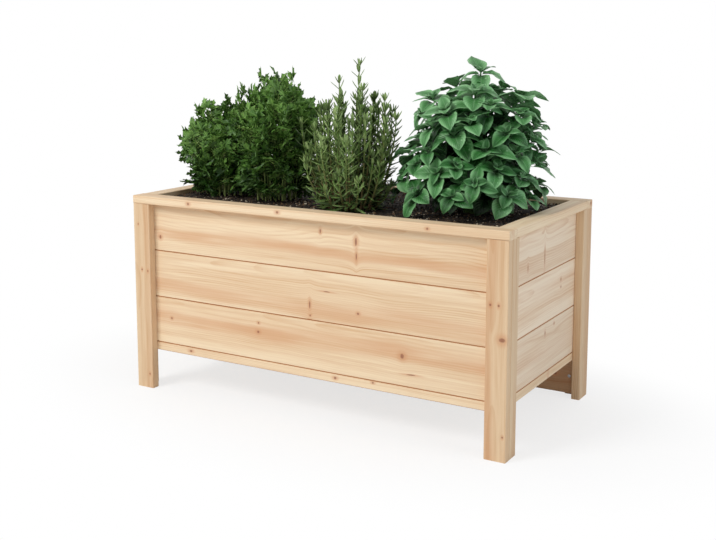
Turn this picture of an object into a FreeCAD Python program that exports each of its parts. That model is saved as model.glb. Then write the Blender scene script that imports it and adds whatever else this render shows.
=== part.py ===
import FreeCAD, Part
import math
import os

# Raised garden bed of pale softwood, planted with three kitchen herbs.
# Millimetres. X runs along the length, Y towards the back, Z up.
# The origin is on the ground, under the middle of the bed.

Vector = FreeCAD.Vector

# Overall sizes
overall_length = 914.0
overall_depth = 468.0
overall_height = 445.0

# Legs: each is a face board and a narrower return board behind it
board_thickness = 19.0
leg_face_width = 45.0
leg_return_width = 31.0
edge_radius = 1.5

# Rim, laid flat on the legs and walls
rim_thickness = 18.0
rim_width = 38.0
rim_edge_radius = 2.5

# Bottom rails and tongued wall boards
rail_underside = 88.0
rail_height = 19.5
wall_board_count = 3
seam_bevel = 1.3
tongue_height = 7.0
tongue_thickness = 6.0
tongue_clearance = 0.4
board_end_clearance = 0.5

# Kick board between the back legs
kick_board_ground_gap = 8.0

# Inside: battens, loose floor, lining and soil
batten_size = 28.0
middle_batten_width = 45.0
slat_count = 8
slat_thickness = 12.0
slat_gap = 8.0
slat_clearance = 1.5
lining_thickness = 1.5
lining_clearance = 0.5
lining_below_rim = 4.0
soil_below_rim_top = 9.0
soil_crown = 3.0
soil_crown_margin = 28.0

# Screws and nails
screw_radius = 2.0
screw_head_radius = 4.0
screw_head_height = 2.5
screw_sides = 6
screw_bite = 13.0
nail_half_width = 1.1
nail_length = 42.0
fastener_clearance = 0.05
wall_nail_spacing = 260.0
rail_screw_spacing = 280.0

# Herbs: where each stands, how far its shoots reach and how high
root_ball_radius = 42.0
root_ball_depth = 70.0
root_ball_taper = 0.75
root_clearance = 0.5
golden_angle = 137.508
lowest_tip = 0.17
basil_place = (278.0, -8.0)
basil_leader_height = 316.0
basil_height = 300.0
basil_spread = 128.0
basil_fullness = 0.75
basil_shoot_count = 34
basil_rosette_radius = 58.0
basil_rosette_thickness = 16.0
basil_leaf_count = 4
basil_stem_radius = 3.2
rosemary_place = (32.0, -88.0)
rosemary_height = 325.0
rosemary_spread = 86.0
rosemary_sprig_count = 24
rosemary_needle_reach = 15.0
rosemary_stem_radius = 2.6
parsley_places = {"left": (-342.0, -50.0), "right": (-182.0, -60.0)}
parsley_heights = {"left": 218.0, "right": 288.0}
parsley_spreads = {"left": 42.0, "right": 50.0}
parsley_fullness = 0.4
parsley_stalk_counts = {"left": 20, "right": 28}
parsley_leaf_length = 58.0
parsley_leaf_width = 74.0
parsley_leaf_thickness = 30.0
parsley_stalk_radius = 1.8

# Places worked out from the sizes above
half_length = overall_length / 2
half_depth = overall_depth / 2
leg_height = overall_height - rim_thickness
rail_width = leg_return_width
rail_top = rail_underside + rail_height
wall_height = leg_height - rail_top
wall_board_height = wall_height / wall_board_count
wall_outside = board_thickness
wall_inside = wall_outside + board_thickness
inner_half_length = half_length - wall_inside
inner_half_depth = half_depth - wall_inside
floor_top = rail_top + slat_thickness
soil_level = overall_height - soil_below_rim_top


def block(x_range, y_range, z_range):
    """A square-edged block between two values on each axis."""
    size = [high - low for low, high in (x_range, y_range, z_range)]
    return Part.makeBox(*size, Vector(x_range[0], y_range[0], z_range[0]))


def long_edges(board, axis):
    """The straight edges of a board that run along one axis."""
    edges = []
    for edge in board.Edges:
        start, end = edge.Vertexes[0].Point, edge.Vertexes[-1].Point
        if abs((end - start).normalize().dot(axis)) > 0.99:
            edges.append(edge)
    return edges


def eased(board, axis, radius):
    """The board with its long edges rounded over."""
    return board.makeFillet(radius, long_edges(board, axis))


def bevelled(board, axis, width):
    """The board with its long edges planed to a small bevel."""
    return board.makeChamfer(width, long_edges(board, axis))


def on_corner(shape, side_x, side_y):
    """A shape drawn at the front left corner, put at any of the four corners."""
    if side_x > 0:
        shape = shape.mirror(Vector(0, 0, 0), Vector(1, 0, 0))
    if side_y > 0:
        shape = shape.mirror(Vector(0, 0, 0), Vector(0, 1, 0))
    return shape


along_x = Vector(1, 0, 0)
along_y = Vector(0, 1, 0)
along_z = Vector(0, 0, 1)
corners = {
    "front_left": (-1, -1),
    "front_right": (1, -1),
    "back_left": (-1, 1),
    "back_right": (1, 1),
}


# ---- Legs -------------------------------------------------------------------


def leg_face_board():
    """The board of a leg that faces front or back, from the ground to the rim."""
    board = block(
        (-half_length, -half_length + leg_face_width),
        (-half_depth, -half_depth + board_thickness),
        (0, leg_height),
    )
    return eased(board, along_z, edge_radius)


def leg_return_board():
    """The narrow board behind the face board, flush with the end of the bed."""
    board = block(
        (-half_length, -half_length + board_thickness),
        (-half_depth + board_thickness, -half_depth + board_thickness + leg_return_width),
        (0, leg_height),
    )
    return bevelled(board, along_z, edge_radius)


# ---- Rim --------------------------------------------------------------------


def long_rim_board():
    """Front rim board, which runs over both legs."""
    board = block(
        (-half_length, half_length),
        (-half_depth, -half_depth + rim_width),
        (leg_height, overall_height),
    )
    return eased(board, along_x, rim_edge_radius)


def end_rim_board():
    """Left rim board, which butts between the two long ones."""
    board = block(
        (-half_length, -half_length + rim_width),
        (-half_depth + rim_width, half_depth - rim_width),
        (leg_height, overall_height),
    )
    return eased(board, along_y, rim_edge_radius)


# ---- Walls ------------------------------------------------------------------


def wall_board_outline(number):
    """Section of a tongued board: depth into the wall, and height above the ground.

    Boards are numbered from the bottom. The lowest has no groove and the top one no tongue.
    """
    low = rail_top + number * wall_board_height
    high = low + wall_board_height
    tongue_near = (board_thickness - tongue_thickness) / 2
    tongue_far = tongue_near + tongue_thickness
    points = [(0, low + seam_bevel), (0, high - seam_bevel), (seam_bevel, high)]
    if number < wall_board_count - 1:
        tongue_top = high + tongue_height
        points += [(tongue_near, high), (tongue_near, tongue_top)]
        points += [(tongue_far, tongue_top), (tongue_far, high)]
    points += [(board_thickness, high), (board_thickness, low)]
    if number > 0:
        near, far = tongue_near - tongue_clearance, tongue_far + tongue_clearance
        groove_top = low + tongue_height + tongue_clearance
        points += [(far, low), (far, groove_top), (near, groove_top), (near, low)]
    points += [(seam_bevel, low)]
    return points


def long_wall_board(number):
    """Front wall board, between the return boards of the two front legs."""
    reach = half_length - wall_outside - board_end_clearance
    outline = [
        Vector(-reach, -half_depth + wall_outside + depth, height)
        for depth, height in wall_board_outline(number)
    ]
    face = Part.Face(Part.makePolygon(outline + outline[:1]))
    return face.extrude(Vector(2 * reach, 0, 0))


def end_wall_board(number):
    """Left wall board, between the front and back walls."""
    reach = inner_half_depth - board_end_clearance
    outline = [
        Vector(-half_length + wall_outside + depth, -reach, height)
        for depth, height in wall_board_outline(number)
    ]
    face = Part.Face(Part.makePolygon(outline + outline[:1]))
    return face.extrude(Vector(0, 2 * reach, 0))


def long_rail():
    """Front bottom rail: carries the front wall, and the floor on its inner ledge."""
    reach = half_length - board_thickness
    rail = block(
        (-reach, reach),
        (-half_depth + wall_outside, -half_depth + wall_outside + rail_width),
        (rail_underside, rail_top),
    )
    return bevelled(rail, along_x, seam_bevel)


def end_rail():
    """Left bottom rail, which butts between the front and back rails."""
    reach = half_depth - wall_outside - rail_width
    rail = block(
        (-half_length + wall_outside, -half_length + wall_outside + rail_width),
        (-reach, reach),
        (rail_underside, rail_top),
    )
    return bevelled(rail, along_y, seam_bevel)


def kick_board():
    """Board under the back rail, between the back legs, just clear of the ground."""
    reach = half_length - board_thickness - board_end_clearance
    board = block(
        (-reach, reach),
        (half_depth - wall_inside, half_depth - wall_outside),
        (kick_board_ground_gap, rail_underside),
    )
    return bevelled(board, along_x, seam_bevel)


# ---- Inside -----------------------------------------------------------------


def corner_batten():
    """Square batten in the front left corner, from the bottom rails to the rim."""
    return block(
        (-inner_half_length, -inner_half_length + batten_size),
        (-inner_half_depth, -inner_half_depth + batten_size),
        (rail_top, leg_height),
    )


def middle_batten():
    """Flat batten that ties the boards of the front wall together at mid length."""
    return block(
        (-middle_batten_width / 2, middle_batten_width / 2),
        (-inner_half_depth, -inner_half_depth + board_thickness),
        (rail_top, leg_height),
    )


def batten_spaces(clearance):
    """The space that the six battens take, grown by a clearance on every side."""
    corner = block(
        (-inner_half_length - clearance, -inner_half_length + batten_size + clearance),
        (-inner_half_depth - clearance, -inner_half_depth + batten_size + clearance),
        (rail_underside, overall_height),
    )
    spaces = [on_corner(corner, *sides) for sides in corners.values()]
    middle = block(
        (-middle_batten_width / 2 - clearance, middle_batten_width / 2 + clearance),
        (-inner_half_depth - clearance, -inner_half_depth + board_thickness + clearance),
        (rail_underside, overall_height),
    )
    return spaces + [middle, on_corner(middle, -1, 1)]


def slat_width():
    """Width of a slat when they fill the floor with even gaps."""
    room = 2 * (inner_half_length - slat_clearance)
    return (room - slat_gap * (slat_count - 1)) / slat_count


def floor_slat(number):
    """Slat across the bed, notched round the battens that it meets."""
    left = -inner_half_length + slat_clearance + number * (slat_width() + slat_gap)
    reach = inner_half_depth - slat_clearance
    slat = block((left, left + slat_width()), (-reach, reach), (rail_top, floor_top))
    return slat.cut(batten_spaces(slat_clearance))


def inside_space(inset, bottom, top):
    """What the walls and battens leave free, less an inset on every side."""
    space = block(
        (-inner_half_length + inset, inner_half_length - inset),
        (-inner_half_depth + inset, inner_half_depth - inset),
        (bottom, top),
    )
    return space.cut(batten_spaces(inset))


lining_top = leg_height - lining_below_rim
lining_inside = lining_clearance + lining_thickness


def lining():
    """Fabric bag that keeps the soil off the boards, open at the top."""
    bag = inside_space(lining_clearance, floor_top, lining_top)
    room = inside_space(lining_inside, floor_top + lining_thickness, lining_top + 1)
    return bag.cut(room)


def root_ball(place, gap):
    """Tapered plug of roots and potting mix under one herb, or with a gap the hole for it."""
    top = Vector(place[0], place[1], soil_level)
    profile = [
        (0, root_ball_radius + gap),
        (root_ball_depth + gap, root_ball_taper * root_ball_radius + gap),
    ]
    return faceted(top, -along_z, profile, 8)


def potting_soil():
    """Soil from the lining up to just under the top of the rim, with a place for each root."""
    inset = lining_inside + lining_clearance
    fill = inside_space(inset, floor_top + lining_thickness + lining_clearance, leg_height)
    collar_foot = rim_opening(lining_clearance, leg_height)
    collar_top = rim_opening(lining_clearance, soil_level - soil_crown)
    crown_top = rim_opening(lining_clearance + soil_crown_margin, soil_level)
    collar = Part.makeLoft([collar_foot, collar_top], True, True)
    crown = Part.makeLoft([collar_top, crown_top], True, True)
    soil = fill.fuse([collar, crown]).removeSplitter()
    places = [basil_place, rosemary_place, *parsley_places.values()]
    return soil.cut([root_ball(place, root_clearance) for place in places])


def rim_opening(inset, height):
    """Level outline of the opening in the rim, at an inset from its edge."""
    x, y = half_length - rim_width - inset, half_depth - rim_width - inset
    points = [Vector(-x, -y, height), Vector(x, -y, height)]
    points += [Vector(x, y, height), Vector(-x, y, height)]
    return Part.makePolygon(points + points[:1])


# ---- Screws and nails -------------------------------------------------------


def screw(length, gap=0.0):
    """Countersunk screw that points down from its head, or with a gap the hole for it."""
    profile = [
        (-gap, screw_head_radius + gap),
        (screw_head_height, screw_radius + gap),
        (length + gap, screw_radius + gap),
    ]
    return faceted(Vector(0, 0, 0), -along_z, profile, screw_sides)


def nail(length, gap=0.0):
    """Square headless nail that points down, or with a gap the hole for it."""
    half_diagonal = math.sqrt(2) * (nail_half_width + gap)
    profile = [(-gap, half_diagonal), (length + gap, half_diagonal)]
    return faceted(Vector(0, 0, 0), -along_z, profile, 4)


def driven(fastener, place, direction):
    """A fastener that points down, turned to point along a direction from a place."""
    turn = FreeCAD.Rotation(Vector(0, 0, -1), Vector(*direction))
    fastener = fastener.copy()
    fastener.Placement = FreeCAD.Placement(Vector(*place), turn)
    return fastener


def wall_board_middles():
    """Heights of the middles of the wall boards."""
    return [rail_top + (number + 0.5) * wall_board_height for number in range(wall_board_count)]


def corner_batten_screws():
    """From inside, through each corner batten into the two walls that it stands against."""
    x, y = inner_half_length - batten_size, inner_half_depth - batten_size
    step = wall_board_height / 4
    for side_x, side_y in corners.values():
        for height in wall_board_middles():
            across_batten = side_x * (x + batten_size / 2)
            yield (across_batten, side_y * y, height + step), (0, side_y, 0)
            along_batten = side_y * (y + batten_size / 2)
            yield (side_x * x, along_batten, height - step), (side_x, 0, 0)


def board_screws():
    """From inside, through one board into the next: legs, middle battens and kick board."""
    in_leg = half_length - (wall_outside + wall_inside) / 2
    for side_x, side_y in corners.values():
        for height in wall_board_middles():
            place = (side_x * in_leg, side_y * inner_half_depth, height)
            yield place, (0, side_y, 0)
    for side_y in (-1, 1):
        for height in wall_board_middles():
            place = (0, side_y * (inner_half_depth - board_thickness), height)
            yield place, (0, side_y, 0)
    kick_board_middle = (kick_board_ground_gap + rail_underside) / 2
    for side_x in (-1, 1):
        yield (side_x * in_leg, inner_half_depth, kick_board_middle), (0, 1, 0)


def rail_screws():
    """From below, up through the front and end rails into the walls that stand on them.

    The back rail has the kick board under it.
    """
    wall_middle = (wall_outside + wall_inside) / 2
    per_side = int((inner_half_length - batten_size) // rail_screw_spacing)
    for step in range(-per_side, per_side + 1):
        place = (step * rail_screw_spacing, wall_middle - half_depth, rail_underside)
        yield place, (0, 0, 1)
    for side_x in (-1, 1):
        for side_y in (-1, 1):
            place = (side_x * (half_length - wall_middle), side_y * inner_half_depth / 2)
            yield (*place, rail_underside), (0, 0, 1)


def rim_nails():
    """Down through the rim into the legs at the corners, and into the walls between them."""
    board_middle = board_thickness / 2
    wall_middle = (wall_outside + wall_inside) / 2
    return_end = board_thickness + leg_return_width
    for side_x, side_y in corners.values():
        in_face_board = half_length - (board_thickness + leg_face_width) / 2
        yield (side_x * in_face_board, side_y * (half_depth - board_middle))
        in_return_board = half_length - board_middle
        yield (side_x * in_return_board, side_y * (half_depth - (rim_width + return_end) / 2))
    per_side = int((half_length - leg_face_width) // wall_nail_spacing)
    for step in range(-per_side, per_side + 1):
        for side_y in (-1, 1):
            yield (step * wall_nail_spacing, side_y * (half_depth - wall_middle))
    for side_x in (-1, 1):
        yield (side_x * (half_length - wall_middle), 0)


def fasteners(gap=0.0):
    """Each group of screws or nails, or with a gap the holes for them."""
    long_screw = screw(batten_size + screw_bite, gap)
    short_screw = screw(board_thickness + screw_bite, gap)
    rim_nail = nail(nail_length, gap)
    down = (0, 0, -1)
    return {
        "corner_batten_screws": [driven(long_screw, *at) for at in corner_batten_screws()],
        "board_screws": [driven(short_screw, *at) for at in board_screws()],
        "bottom_rail_screws": [driven(short_screw, *at) for at in rail_screws()],
        "rim_nails": [driven(rim_nail, (*at, overall_height), down) for at in rim_nails()],
    }


def drilled(board, holes):
    """The board with every hole that reaches it cut out."""
    near = [hole for hole in holes if hole.BoundBox.intersect(board.BoundBox)]
    return board.cut(near) if near else board


# ---- Herbs ------------------------------------------------------------------


def flat_sided(points, faces):
    """Closed solid from its corner points and the corner numbers of each flat face."""
    sides = []
    for face in faces:
        outline = [points[number] for number in face]
        sides.append(Part.Face(Part.makePolygon(outline + outline[:1])))
    solid = Part.Solid(Part.Shell(sides))
    if solid.Volume < 0:
        solid.reverse()
    return solid


def square_to(direction):
    """Two directions square to the one given and to each other, the first of them level."""
    level = direction.cross(along_z)
    level = level.normalize() if level.Length > 1e-6 else Vector(1, 0, 0)
    return level, level.cross(direction)


def faceted(start, direction, profile, sides):
    """Flat-sided solid round an axis. profile holds each ring's distance along and radius."""
    direction = Vector(direction).normalize()
    level, upright = square_to(direction)
    points = []
    for distance, radius in profile:
        for number in range(sides):
            turn = 2 * math.pi * (number + 0.5) / sides
            spoke = level * math.cos(turn) + upright * math.sin(turn)
            points.append(start + direction * distance + spoke * radius)
    last = len(points) - sides
    faces = [tuple(reversed(range(sides))), tuple(range(last, last + sides))]
    for first in range(0, last, sides):
        for number in range(sides):
            following = (number + 1) % sides
            above = first + sides
            faces.append((first + number, first + following, above + following, above + number))
    return flat_sided(points, faces)


def stem(start, end, start_radius, end_radius, sides=3):
    """Tapering stem between two points."""
    profile = [(0, start_radius), ((end - start).Length, end_radius)]
    return faceted(start, end - start, profile, sides)


def two_sided(rim, top, bottom):
    """Closed solid from a rim of points, one point above it and one below."""
    points = rim + [top, bottom]
    count = len(rim)
    faces = []
    for number in range(count):
        following = (number + 1) % count
        faces.append((number, following, count))
        faces.append((following, number, count + 1))
    return flat_sided(points, faces)


def dome_tips(place, height, spread, count, fullness):
    """Tips spread over a dome by the golden angle, from its foot to its top."""
    for number in range(count):
        rise = 1 - math.sqrt(1 - (number + 0.5) / count)
        radius = spread * math.cos(math.pi / 2 * rise) ** fullness
        turn = math.radians(golden_angle * number)
        outward = Vector(math.cos(turn), math.sin(turn), 0)
        lift = height * (lowest_tip + (1 - lowest_tip) * rise)
        yield Vector(place[0], place[1], soil_level + lift) + outward * radius, outward, rise


def basil_rosette(tip, outward, rise):
    """Ovate leaves round a tip, drooping, with the outer ones lower than the inner."""
    sideways = along_z.cross(outward)
    droop = 0.32
    lean = 0.45 * (1 - rise)
    # share of a leaf's length, and turn from its midrib as a share of the turn between leaves:
    # shoulder, tip, shoulder and the notch before the next leaf
    leaf_points = [(0.62, -0.3), (1.0, 0.0), (0.62, 0.3), (0.2, 0.5)]
    rim = []
    for leaf in range(basil_leaf_count):
        for share, offset in leaf_points:
            turn = 2 * math.pi * (leaf + 0.5 + offset) / basil_leaf_count
            reach = share * basil_rosette_radius
            level = outward * math.cos(turn) + sideways * math.sin(turn)
            drop = droop * share * reach + lean * math.cos(turn) * reach
            rim.append(tip + level * reach - along_z * drop)
    half = along_z * (basil_rosette_thickness / 2)
    return two_sided(rim, tip + half, tip - half)


def basil():
    """Basil bush: shoots from one foot, each with a rosette of leaves, and one leader above."""
    centre = Vector(basil_place[0], basil_place[1], soil_level)
    pieces = [root_ball(basil_place, 0)]
    tips = [(centre + along_z * basil_leader_height, Vector(1, 0, 0), 1.0)]
    tips += dome_tips(basil_place, basil_height, basil_spread, basil_shoot_count, basil_fullness)
    for tip, outward, rise in tips:
        foot = centre + outward * (root_ball_radius / 3) - along_z * basil_stem_radius
        pieces.append(stem(foot, tip, basil_stem_radius, basil_stem_radius / 2))
        pieces.append(basil_rosette(tip, outward, rise))
    return joined(pieces)


def parsley_leaf(base, direction):
    """Three-lobed leaf with a raised middle, pointing along a direction."""
    direction = Vector(direction).normalize()
    level, upright = square_to(direction)
    # share of the length and of half the width, along one side from the foot to the tip
    side = [(0, 0), (0.12, 0.55), (0.5, 1), (0.55, 0.45), (0.85, 0.5), (1, 0)]
    rim_shares = side + [(along, -half) for along, half in reversed(side[1:-1])]
    rim = []
    for along, half in rim_shares:
        sideways = half * parsley_leaf_width / 2
        rim.append(base + direction * (along * parsley_leaf_length) + level * sideways)
    middle = base + direction * (0.45 * parsley_leaf_length)
    half_thickness = upright * (parsley_leaf_thickness / 2)
    return two_sided(rim, middle + half_thickness, middle - half_thickness)


def parsley_clump(clump):
    """Stalks that fan out from one foot, each with one leaf."""
    place = parsley_places[clump]
    centre = Vector(place[0], place[1], soil_level)
    pieces = [root_ball(place, 0)]
    height, spread = parsley_heights[clump], parsley_spreads[clump]
    count = parsley_stalk_counts[clump]
    for tip, outward, rise in dome_tips(place, height, spread, count, parsley_fullness):
        foot = centre + outward * (0.75 * root_ball_radius * (1 - rise))
        foot = foot - along_z * parsley_stalk_radius
        pieces.append(stem(foot, tip, parsley_stalk_radius, parsley_stalk_radius))
        direction = outward * (1 - 0.6 * rise) + along_z * (0.15 + 0.75 * rise)
        pieces.append(parsley_leaf(tip - direction * (0.2 * parsley_leaf_length), direction))
    return pieces


def parsley():
    """Two clumps of parsley whose leaves have grown into each other."""
    pieces = []
    for clump in parsley_places:
        pieces += parsley_clump(clump)
    return joined(pieces)


def rosemary():
    """Rosemary: upright needled sprigs on woody stems that fan out from one foot."""
    centre = Vector(rosemary_place[0], rosemary_place[1], soil_level)
    pieces = [root_ball(rosemary_place, 0)]
    bare_share = 0.12
    # whorls of needles: share of the sprig's length and of the needles' reach
    whorls = [(0, 0.25), (0.22, 1), (0.42, 0.6), (0.64, 0.9), (1, 0.1)]
    for number in range(rosemary_sprig_count):
        share = math.sqrt((number + 0.5) / rosemary_sprig_count)
        turn = math.radians(golden_angle * number)
        outward = Vector(math.cos(turn), math.sin(turn), 0)
        foot = centre + outward * (0.6 * root_ball_radius * share)
        foot = foot - along_z * rosemary_stem_radius
        height = rosemary_height * (1 - 0.42 * share * share)
        top = centre + outward * (rosemary_spread * share) + along_z * height
        direction = (top - foot).normalize()
        length = (top - foot).Length
        start = foot + direction * (bare_share * length)
        overlap = start + direction * rosemary_needle_reach
        pieces.append(stem(foot, overlap, rosemary_stem_radius, rosemary_stem_radius / 2))
        sprig_length = (1 - bare_share) * length
        profile = [(along * sprig_length, width * rosemary_needle_reach) for along, width in whorls]
        pieces.append(faceted(start, direction, profile, 4))
    return joined(pieces)


def joined(pieces):
    """One solid from pieces that run into each other."""
    return pieces[0].fuse(pieces[1:])


# ---- The assembly -----------------------------------------------------------


def wooden_pieces():
    """Every board and batten by name, before drilling."""
    pieces = {}
    for corner, sides in corners.items():
        pieces[f"leg_face_{corner}"] = on_corner(leg_face_board(), *sides)
        pieces[f"leg_return_{corner}"] = on_corner(leg_return_board(), *sides)
        pieces[f"corner_batten_{corner}"] = on_corner(corner_batten(), *sides)
    for side, side_y in (("front", -1), ("back", 1)):
        pieces[f"rim_{side}"] = on_corner(long_rim_board(), -1, side_y)
        pieces[f"bottom_rail_{side}"] = on_corner(long_rail(), -1, side_y)
        pieces[f"middle_batten_{side}"] = on_corner(middle_batten(), -1, side_y)
        for number in range(wall_board_count):
            name = f"wall_board_{side}_{number + 1}"
            pieces[name] = on_corner(long_wall_board(number), -1, side_y)
    for side, side_x in (("left", -1), ("right", 1)):
        pieces[f"rim_{side}"] = on_corner(end_rim_board(), side_x, -1)
        pieces[f"bottom_rail_{side}"] = on_corner(end_rail(), side_x, -1)
        for number in range(wall_board_count):
            name = f"wall_board_{side}_{number + 1}"
            pieces[name] = on_corner(end_wall_board(number), side_x, -1)
    for number in range(slat_count):
        pieces[f"floor_slat_{number + 1}"] = floor_slat(number)
    pieces["kick_board_back"] = kick_board()
    return pieces


def main():
    os.makedirs("parts", exist_ok=True)
    holes = [hole for group in fasteners(fastener_clearance).values() for hole in group]
    nodes = {name: drilled(board, holes) for name, board in wooden_pieces().items()}
    nodes.update({name: Part.makeCompound(group) for name, group in fasteners().items()})
    nodes["fabric_lining"] = lining()
    nodes["potting_soil"] = potting_soil()
    nodes["basil_plant"] = basil()
    nodes["rosemary_plant"] = rosemary()
    nodes["parsley_plant"] = parsley()
    for name, shape in nodes.items():
        shape.exportStep(f"parts/{name}.step")
        print(name, "solids", len(shape.Solids), "valid", shape.isValid())


main()
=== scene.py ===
import functools
import math

import bpy
import numpy as np
from bpy.props import FloatProperty, FloatVectorProperty, IntProperty, PointerProperty
from mathutils import Matrix, Vector, noise


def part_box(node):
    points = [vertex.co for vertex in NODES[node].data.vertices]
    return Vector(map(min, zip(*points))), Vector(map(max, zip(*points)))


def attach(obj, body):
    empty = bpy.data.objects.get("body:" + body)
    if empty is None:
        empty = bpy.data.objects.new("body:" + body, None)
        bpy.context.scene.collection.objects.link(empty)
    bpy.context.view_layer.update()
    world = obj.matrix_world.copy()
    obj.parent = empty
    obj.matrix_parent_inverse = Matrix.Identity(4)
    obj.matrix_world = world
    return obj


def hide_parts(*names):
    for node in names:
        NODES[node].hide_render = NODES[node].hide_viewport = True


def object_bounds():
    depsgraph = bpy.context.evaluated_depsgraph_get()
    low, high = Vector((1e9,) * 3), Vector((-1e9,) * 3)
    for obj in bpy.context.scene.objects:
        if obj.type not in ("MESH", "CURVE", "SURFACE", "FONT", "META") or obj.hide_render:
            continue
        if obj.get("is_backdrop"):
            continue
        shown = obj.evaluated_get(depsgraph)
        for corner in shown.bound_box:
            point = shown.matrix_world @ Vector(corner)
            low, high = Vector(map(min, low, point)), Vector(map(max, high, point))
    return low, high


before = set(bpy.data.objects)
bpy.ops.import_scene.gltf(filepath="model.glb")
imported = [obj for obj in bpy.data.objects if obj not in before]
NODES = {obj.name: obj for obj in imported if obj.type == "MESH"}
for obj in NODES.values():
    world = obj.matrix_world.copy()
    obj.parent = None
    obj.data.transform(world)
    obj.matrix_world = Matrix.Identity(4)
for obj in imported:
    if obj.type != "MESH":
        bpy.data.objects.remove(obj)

bl_info = {
    "name": "Planted garden bed",
    "version": (1, 0, 0),
    "blender": (4, 5, 0),
    "location": "3D View > Sidebar > Garden bed",
    "description": "Finishes a wooden raised garden bed, and plants it with kitchen herbs",
    "category": "Object",
}

CAD_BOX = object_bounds()
BODY = "root"
SOIL_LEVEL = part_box("potting_soil")[1].z
GOLDEN_ANGLE = math.radians(137.508)
QUARTER_TURN = math.pi / 2
UPWARD = np.array([0.0, 0.0, 1.0])
MM = 0.001


def linear(red, green, blue):
    """A screen colour, 0 to 255, as the linear values that a socket takes."""
    shares = (value / 255 for value in (red, green, blue))
    return tuple(s / 12.92 if s <= 0.04045 else ((s + 0.055) / 1.055) ** 2.4 for s in shares)


# ---- Settings ---------------------------------------------------------------


def colour_setting(name, description, *channels):
    """A colour that the user can change, with its default as a screen colour."""
    limits = {"size": 3, "min": 0, "max": 1, "default": linear(*channels)}
    return FloatVectorProperty(name=name, description=description, subtype="COLOR", **limits)


def measure_setting(name, description, kind, default):
    """A length in metres or a power in watts that the user can change."""
    unit = "LENGTH" if kind == "DISTANCE" else kind
    return FloatProperty(
        name=name, description=description, subtype=kind, unit=unit, min=0, default=default
    )


def length_setting(name, description, millimetres):
    """A length that the user can change, with its default in millimetres."""
    return measure_setting(name, description, "DISTANCE", millimetres * MM)


def count_setting(name, description, default):
    """A number of like things that the user can change."""
    return IntProperty(name=name, description=description, min=1, default=default)


class BedWoodSettings(bpy.types.PropertyGroup):
    """Colours and growth of the softwood boards."""

    early: colour_setting("Early wood", "Pale wood between the growth rings", 243, 220, 186)
    late: colour_setting("Late wood", "Darker wood in the growth rings", 213, 168, 122)
    band: colour_setting("Heart band", "Reddish band of heartwood", 216, 166, 124)
    knot: colour_setting("Knot", "Middle of a knot", 132, 76, 56)
    # The seam colour darkens the grooves between boards: partly painted shade, partly dust
    seam: colour_setting("Seam", "Tint of the grooves between the boards", 196, 154, 118)
    halo: colour_setting("Knot halo", "Resinous wood round a knot", 205, 142, 100)
    ring_width: length_setting("Ring width", "Distance between two growth rings", 3.4)
    roughness: FloatProperty(
        name="Roughness",
        description="Roughness of the planed surface",
        subtype="FACTOR",
        min=0,
        max=1,
        default=0.55,
    )


class BedSoilSettings(bpy.types.PropertyGroup):
    """Potting soil, its crumbs and the fabric that holds it."""

    dark: colour_setting("Peat", "Damp peat", 22, 17, 15)
    brown: colour_setting("Bark", "Dry bark", 122, 96, 70)
    grey: colour_setting("Grit", "Pale grit", 184, 172, 150)
    fabric: colour_setting("Lining", "Colour of the lining", 52, 52, 50)
    unevenness: length_setting("Unevenness", "Height of the lumps in the surface", 2.6)
    crumb_size: length_setting("Crumb size", "Radius of the largest crumbs", 4.0)
    crumbs: count_setting("Crumbs", "Number of loose crumbs", 8500)


class BedBasilSettings(bpy.types.PropertyGroup):
    """Basil bush."""

    # Deep green is painted shade: it darkens each leaf towards its foot and middle, and whole low, inner leaves
    shade_green: colour_setting("Deep green", "Leaf near its foot and in its folds", 4, 36, 6)
    fresh: colour_setting("Fresh green", "Middle of a leaf", 46, 118, 46)
    # Pale green also makes the painted highlight on high, outer leaves
    pale: colour_setting("Pale green", "Edges and veins", 156, 208, 150)
    stem: colour_setting("Stem", "Green stems", 96, 128, 66)
    height: length_setting("Height", "Height of the dome of shoot tips", 266)
    leader_height: length_setting("Leader height", "Height of the leading shoot", 291)
    spread: length_setting("Spread", "Distance of the outer tips from the middle", 145)
    leaf_length: length_setting("Leaf length", "Length of the largest leaves", 64)
    leaf_width: length_setting("Leaf width", "Width of the largest leaves", 44)
    shoots: count_setting("Shoots", "Number of shoots", 60)


class BedParsleySettings(bpy.types.PropertyGroup):
    """Two clumps of parsley."""

    shade_green: colour_setting("Deep green", "Leaflets in shade", 22, 54, 10)
    fresh: colour_setting("Fresh green", "Upper side of a leaflet", 88, 134, 50)
    pale: colour_setting("Pale green", "Light leaflets and lower sides", 146, 184, 96)
    stalk: colour_setting("Stalk", "Pale green stalks", 172, 192, 112)
    leaf_length: length_setting("Leaf length", "Length of a whole leaf", 58)
    leaflet_length: length_setting("Leaflet length", "Length of one leaflet", 29)


class BedRosemarySettings(bpy.types.PropertyGroup):
    """Upright rosemary."""

    green: colour_setting("Green", "Upper side of a needle", 106, 142, 62)
    grey: colour_setting("Grey green", "Lower side of a needle", 190, 212, 146)
    wood: colour_setting("Woody stem", "Bark of the stems", 128, 98, 70)
    height: length_setting("Height", "Height of the tallest sprig", 303)
    spread: length_setting("Spread", "Distance of the outer sprigs' tops from the middle", 102)
    needle_length: length_setting("Needle length", "Length of the longest needles", 34)
    needle_width: length_setting("Needle width", "Width of a needle", 5.2)
    sprigs: count_setting("Sprigs", "Number of sprigs", 50)
    low_sprigs: count_setting("Low sprigs", "Number of short sprigs round the foot", 44)


class BedStageSettings(bpy.types.PropertyGroup):
    """Floor, light and camera."""

    floor: colour_setting("Floor", "Plain pale floor", 250, 250, 250)
    sky_light: FloatProperty(name="Sky light", description="Even light from all sides", min=0, default=0.42)
    key_light: measure_setting("Key light", "Power of the large soft lamp in front", "POWER", 92)
    fill_light: measure_setting("Fill light", "Power of the cool soft lamp on the right", "POWER", 22)
    lens: FloatProperty(name="Lens", description="Focal length in millimetres", min=1, default=53.9)


# ---- Shader nodes -----------------------------------------------------------


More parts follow.
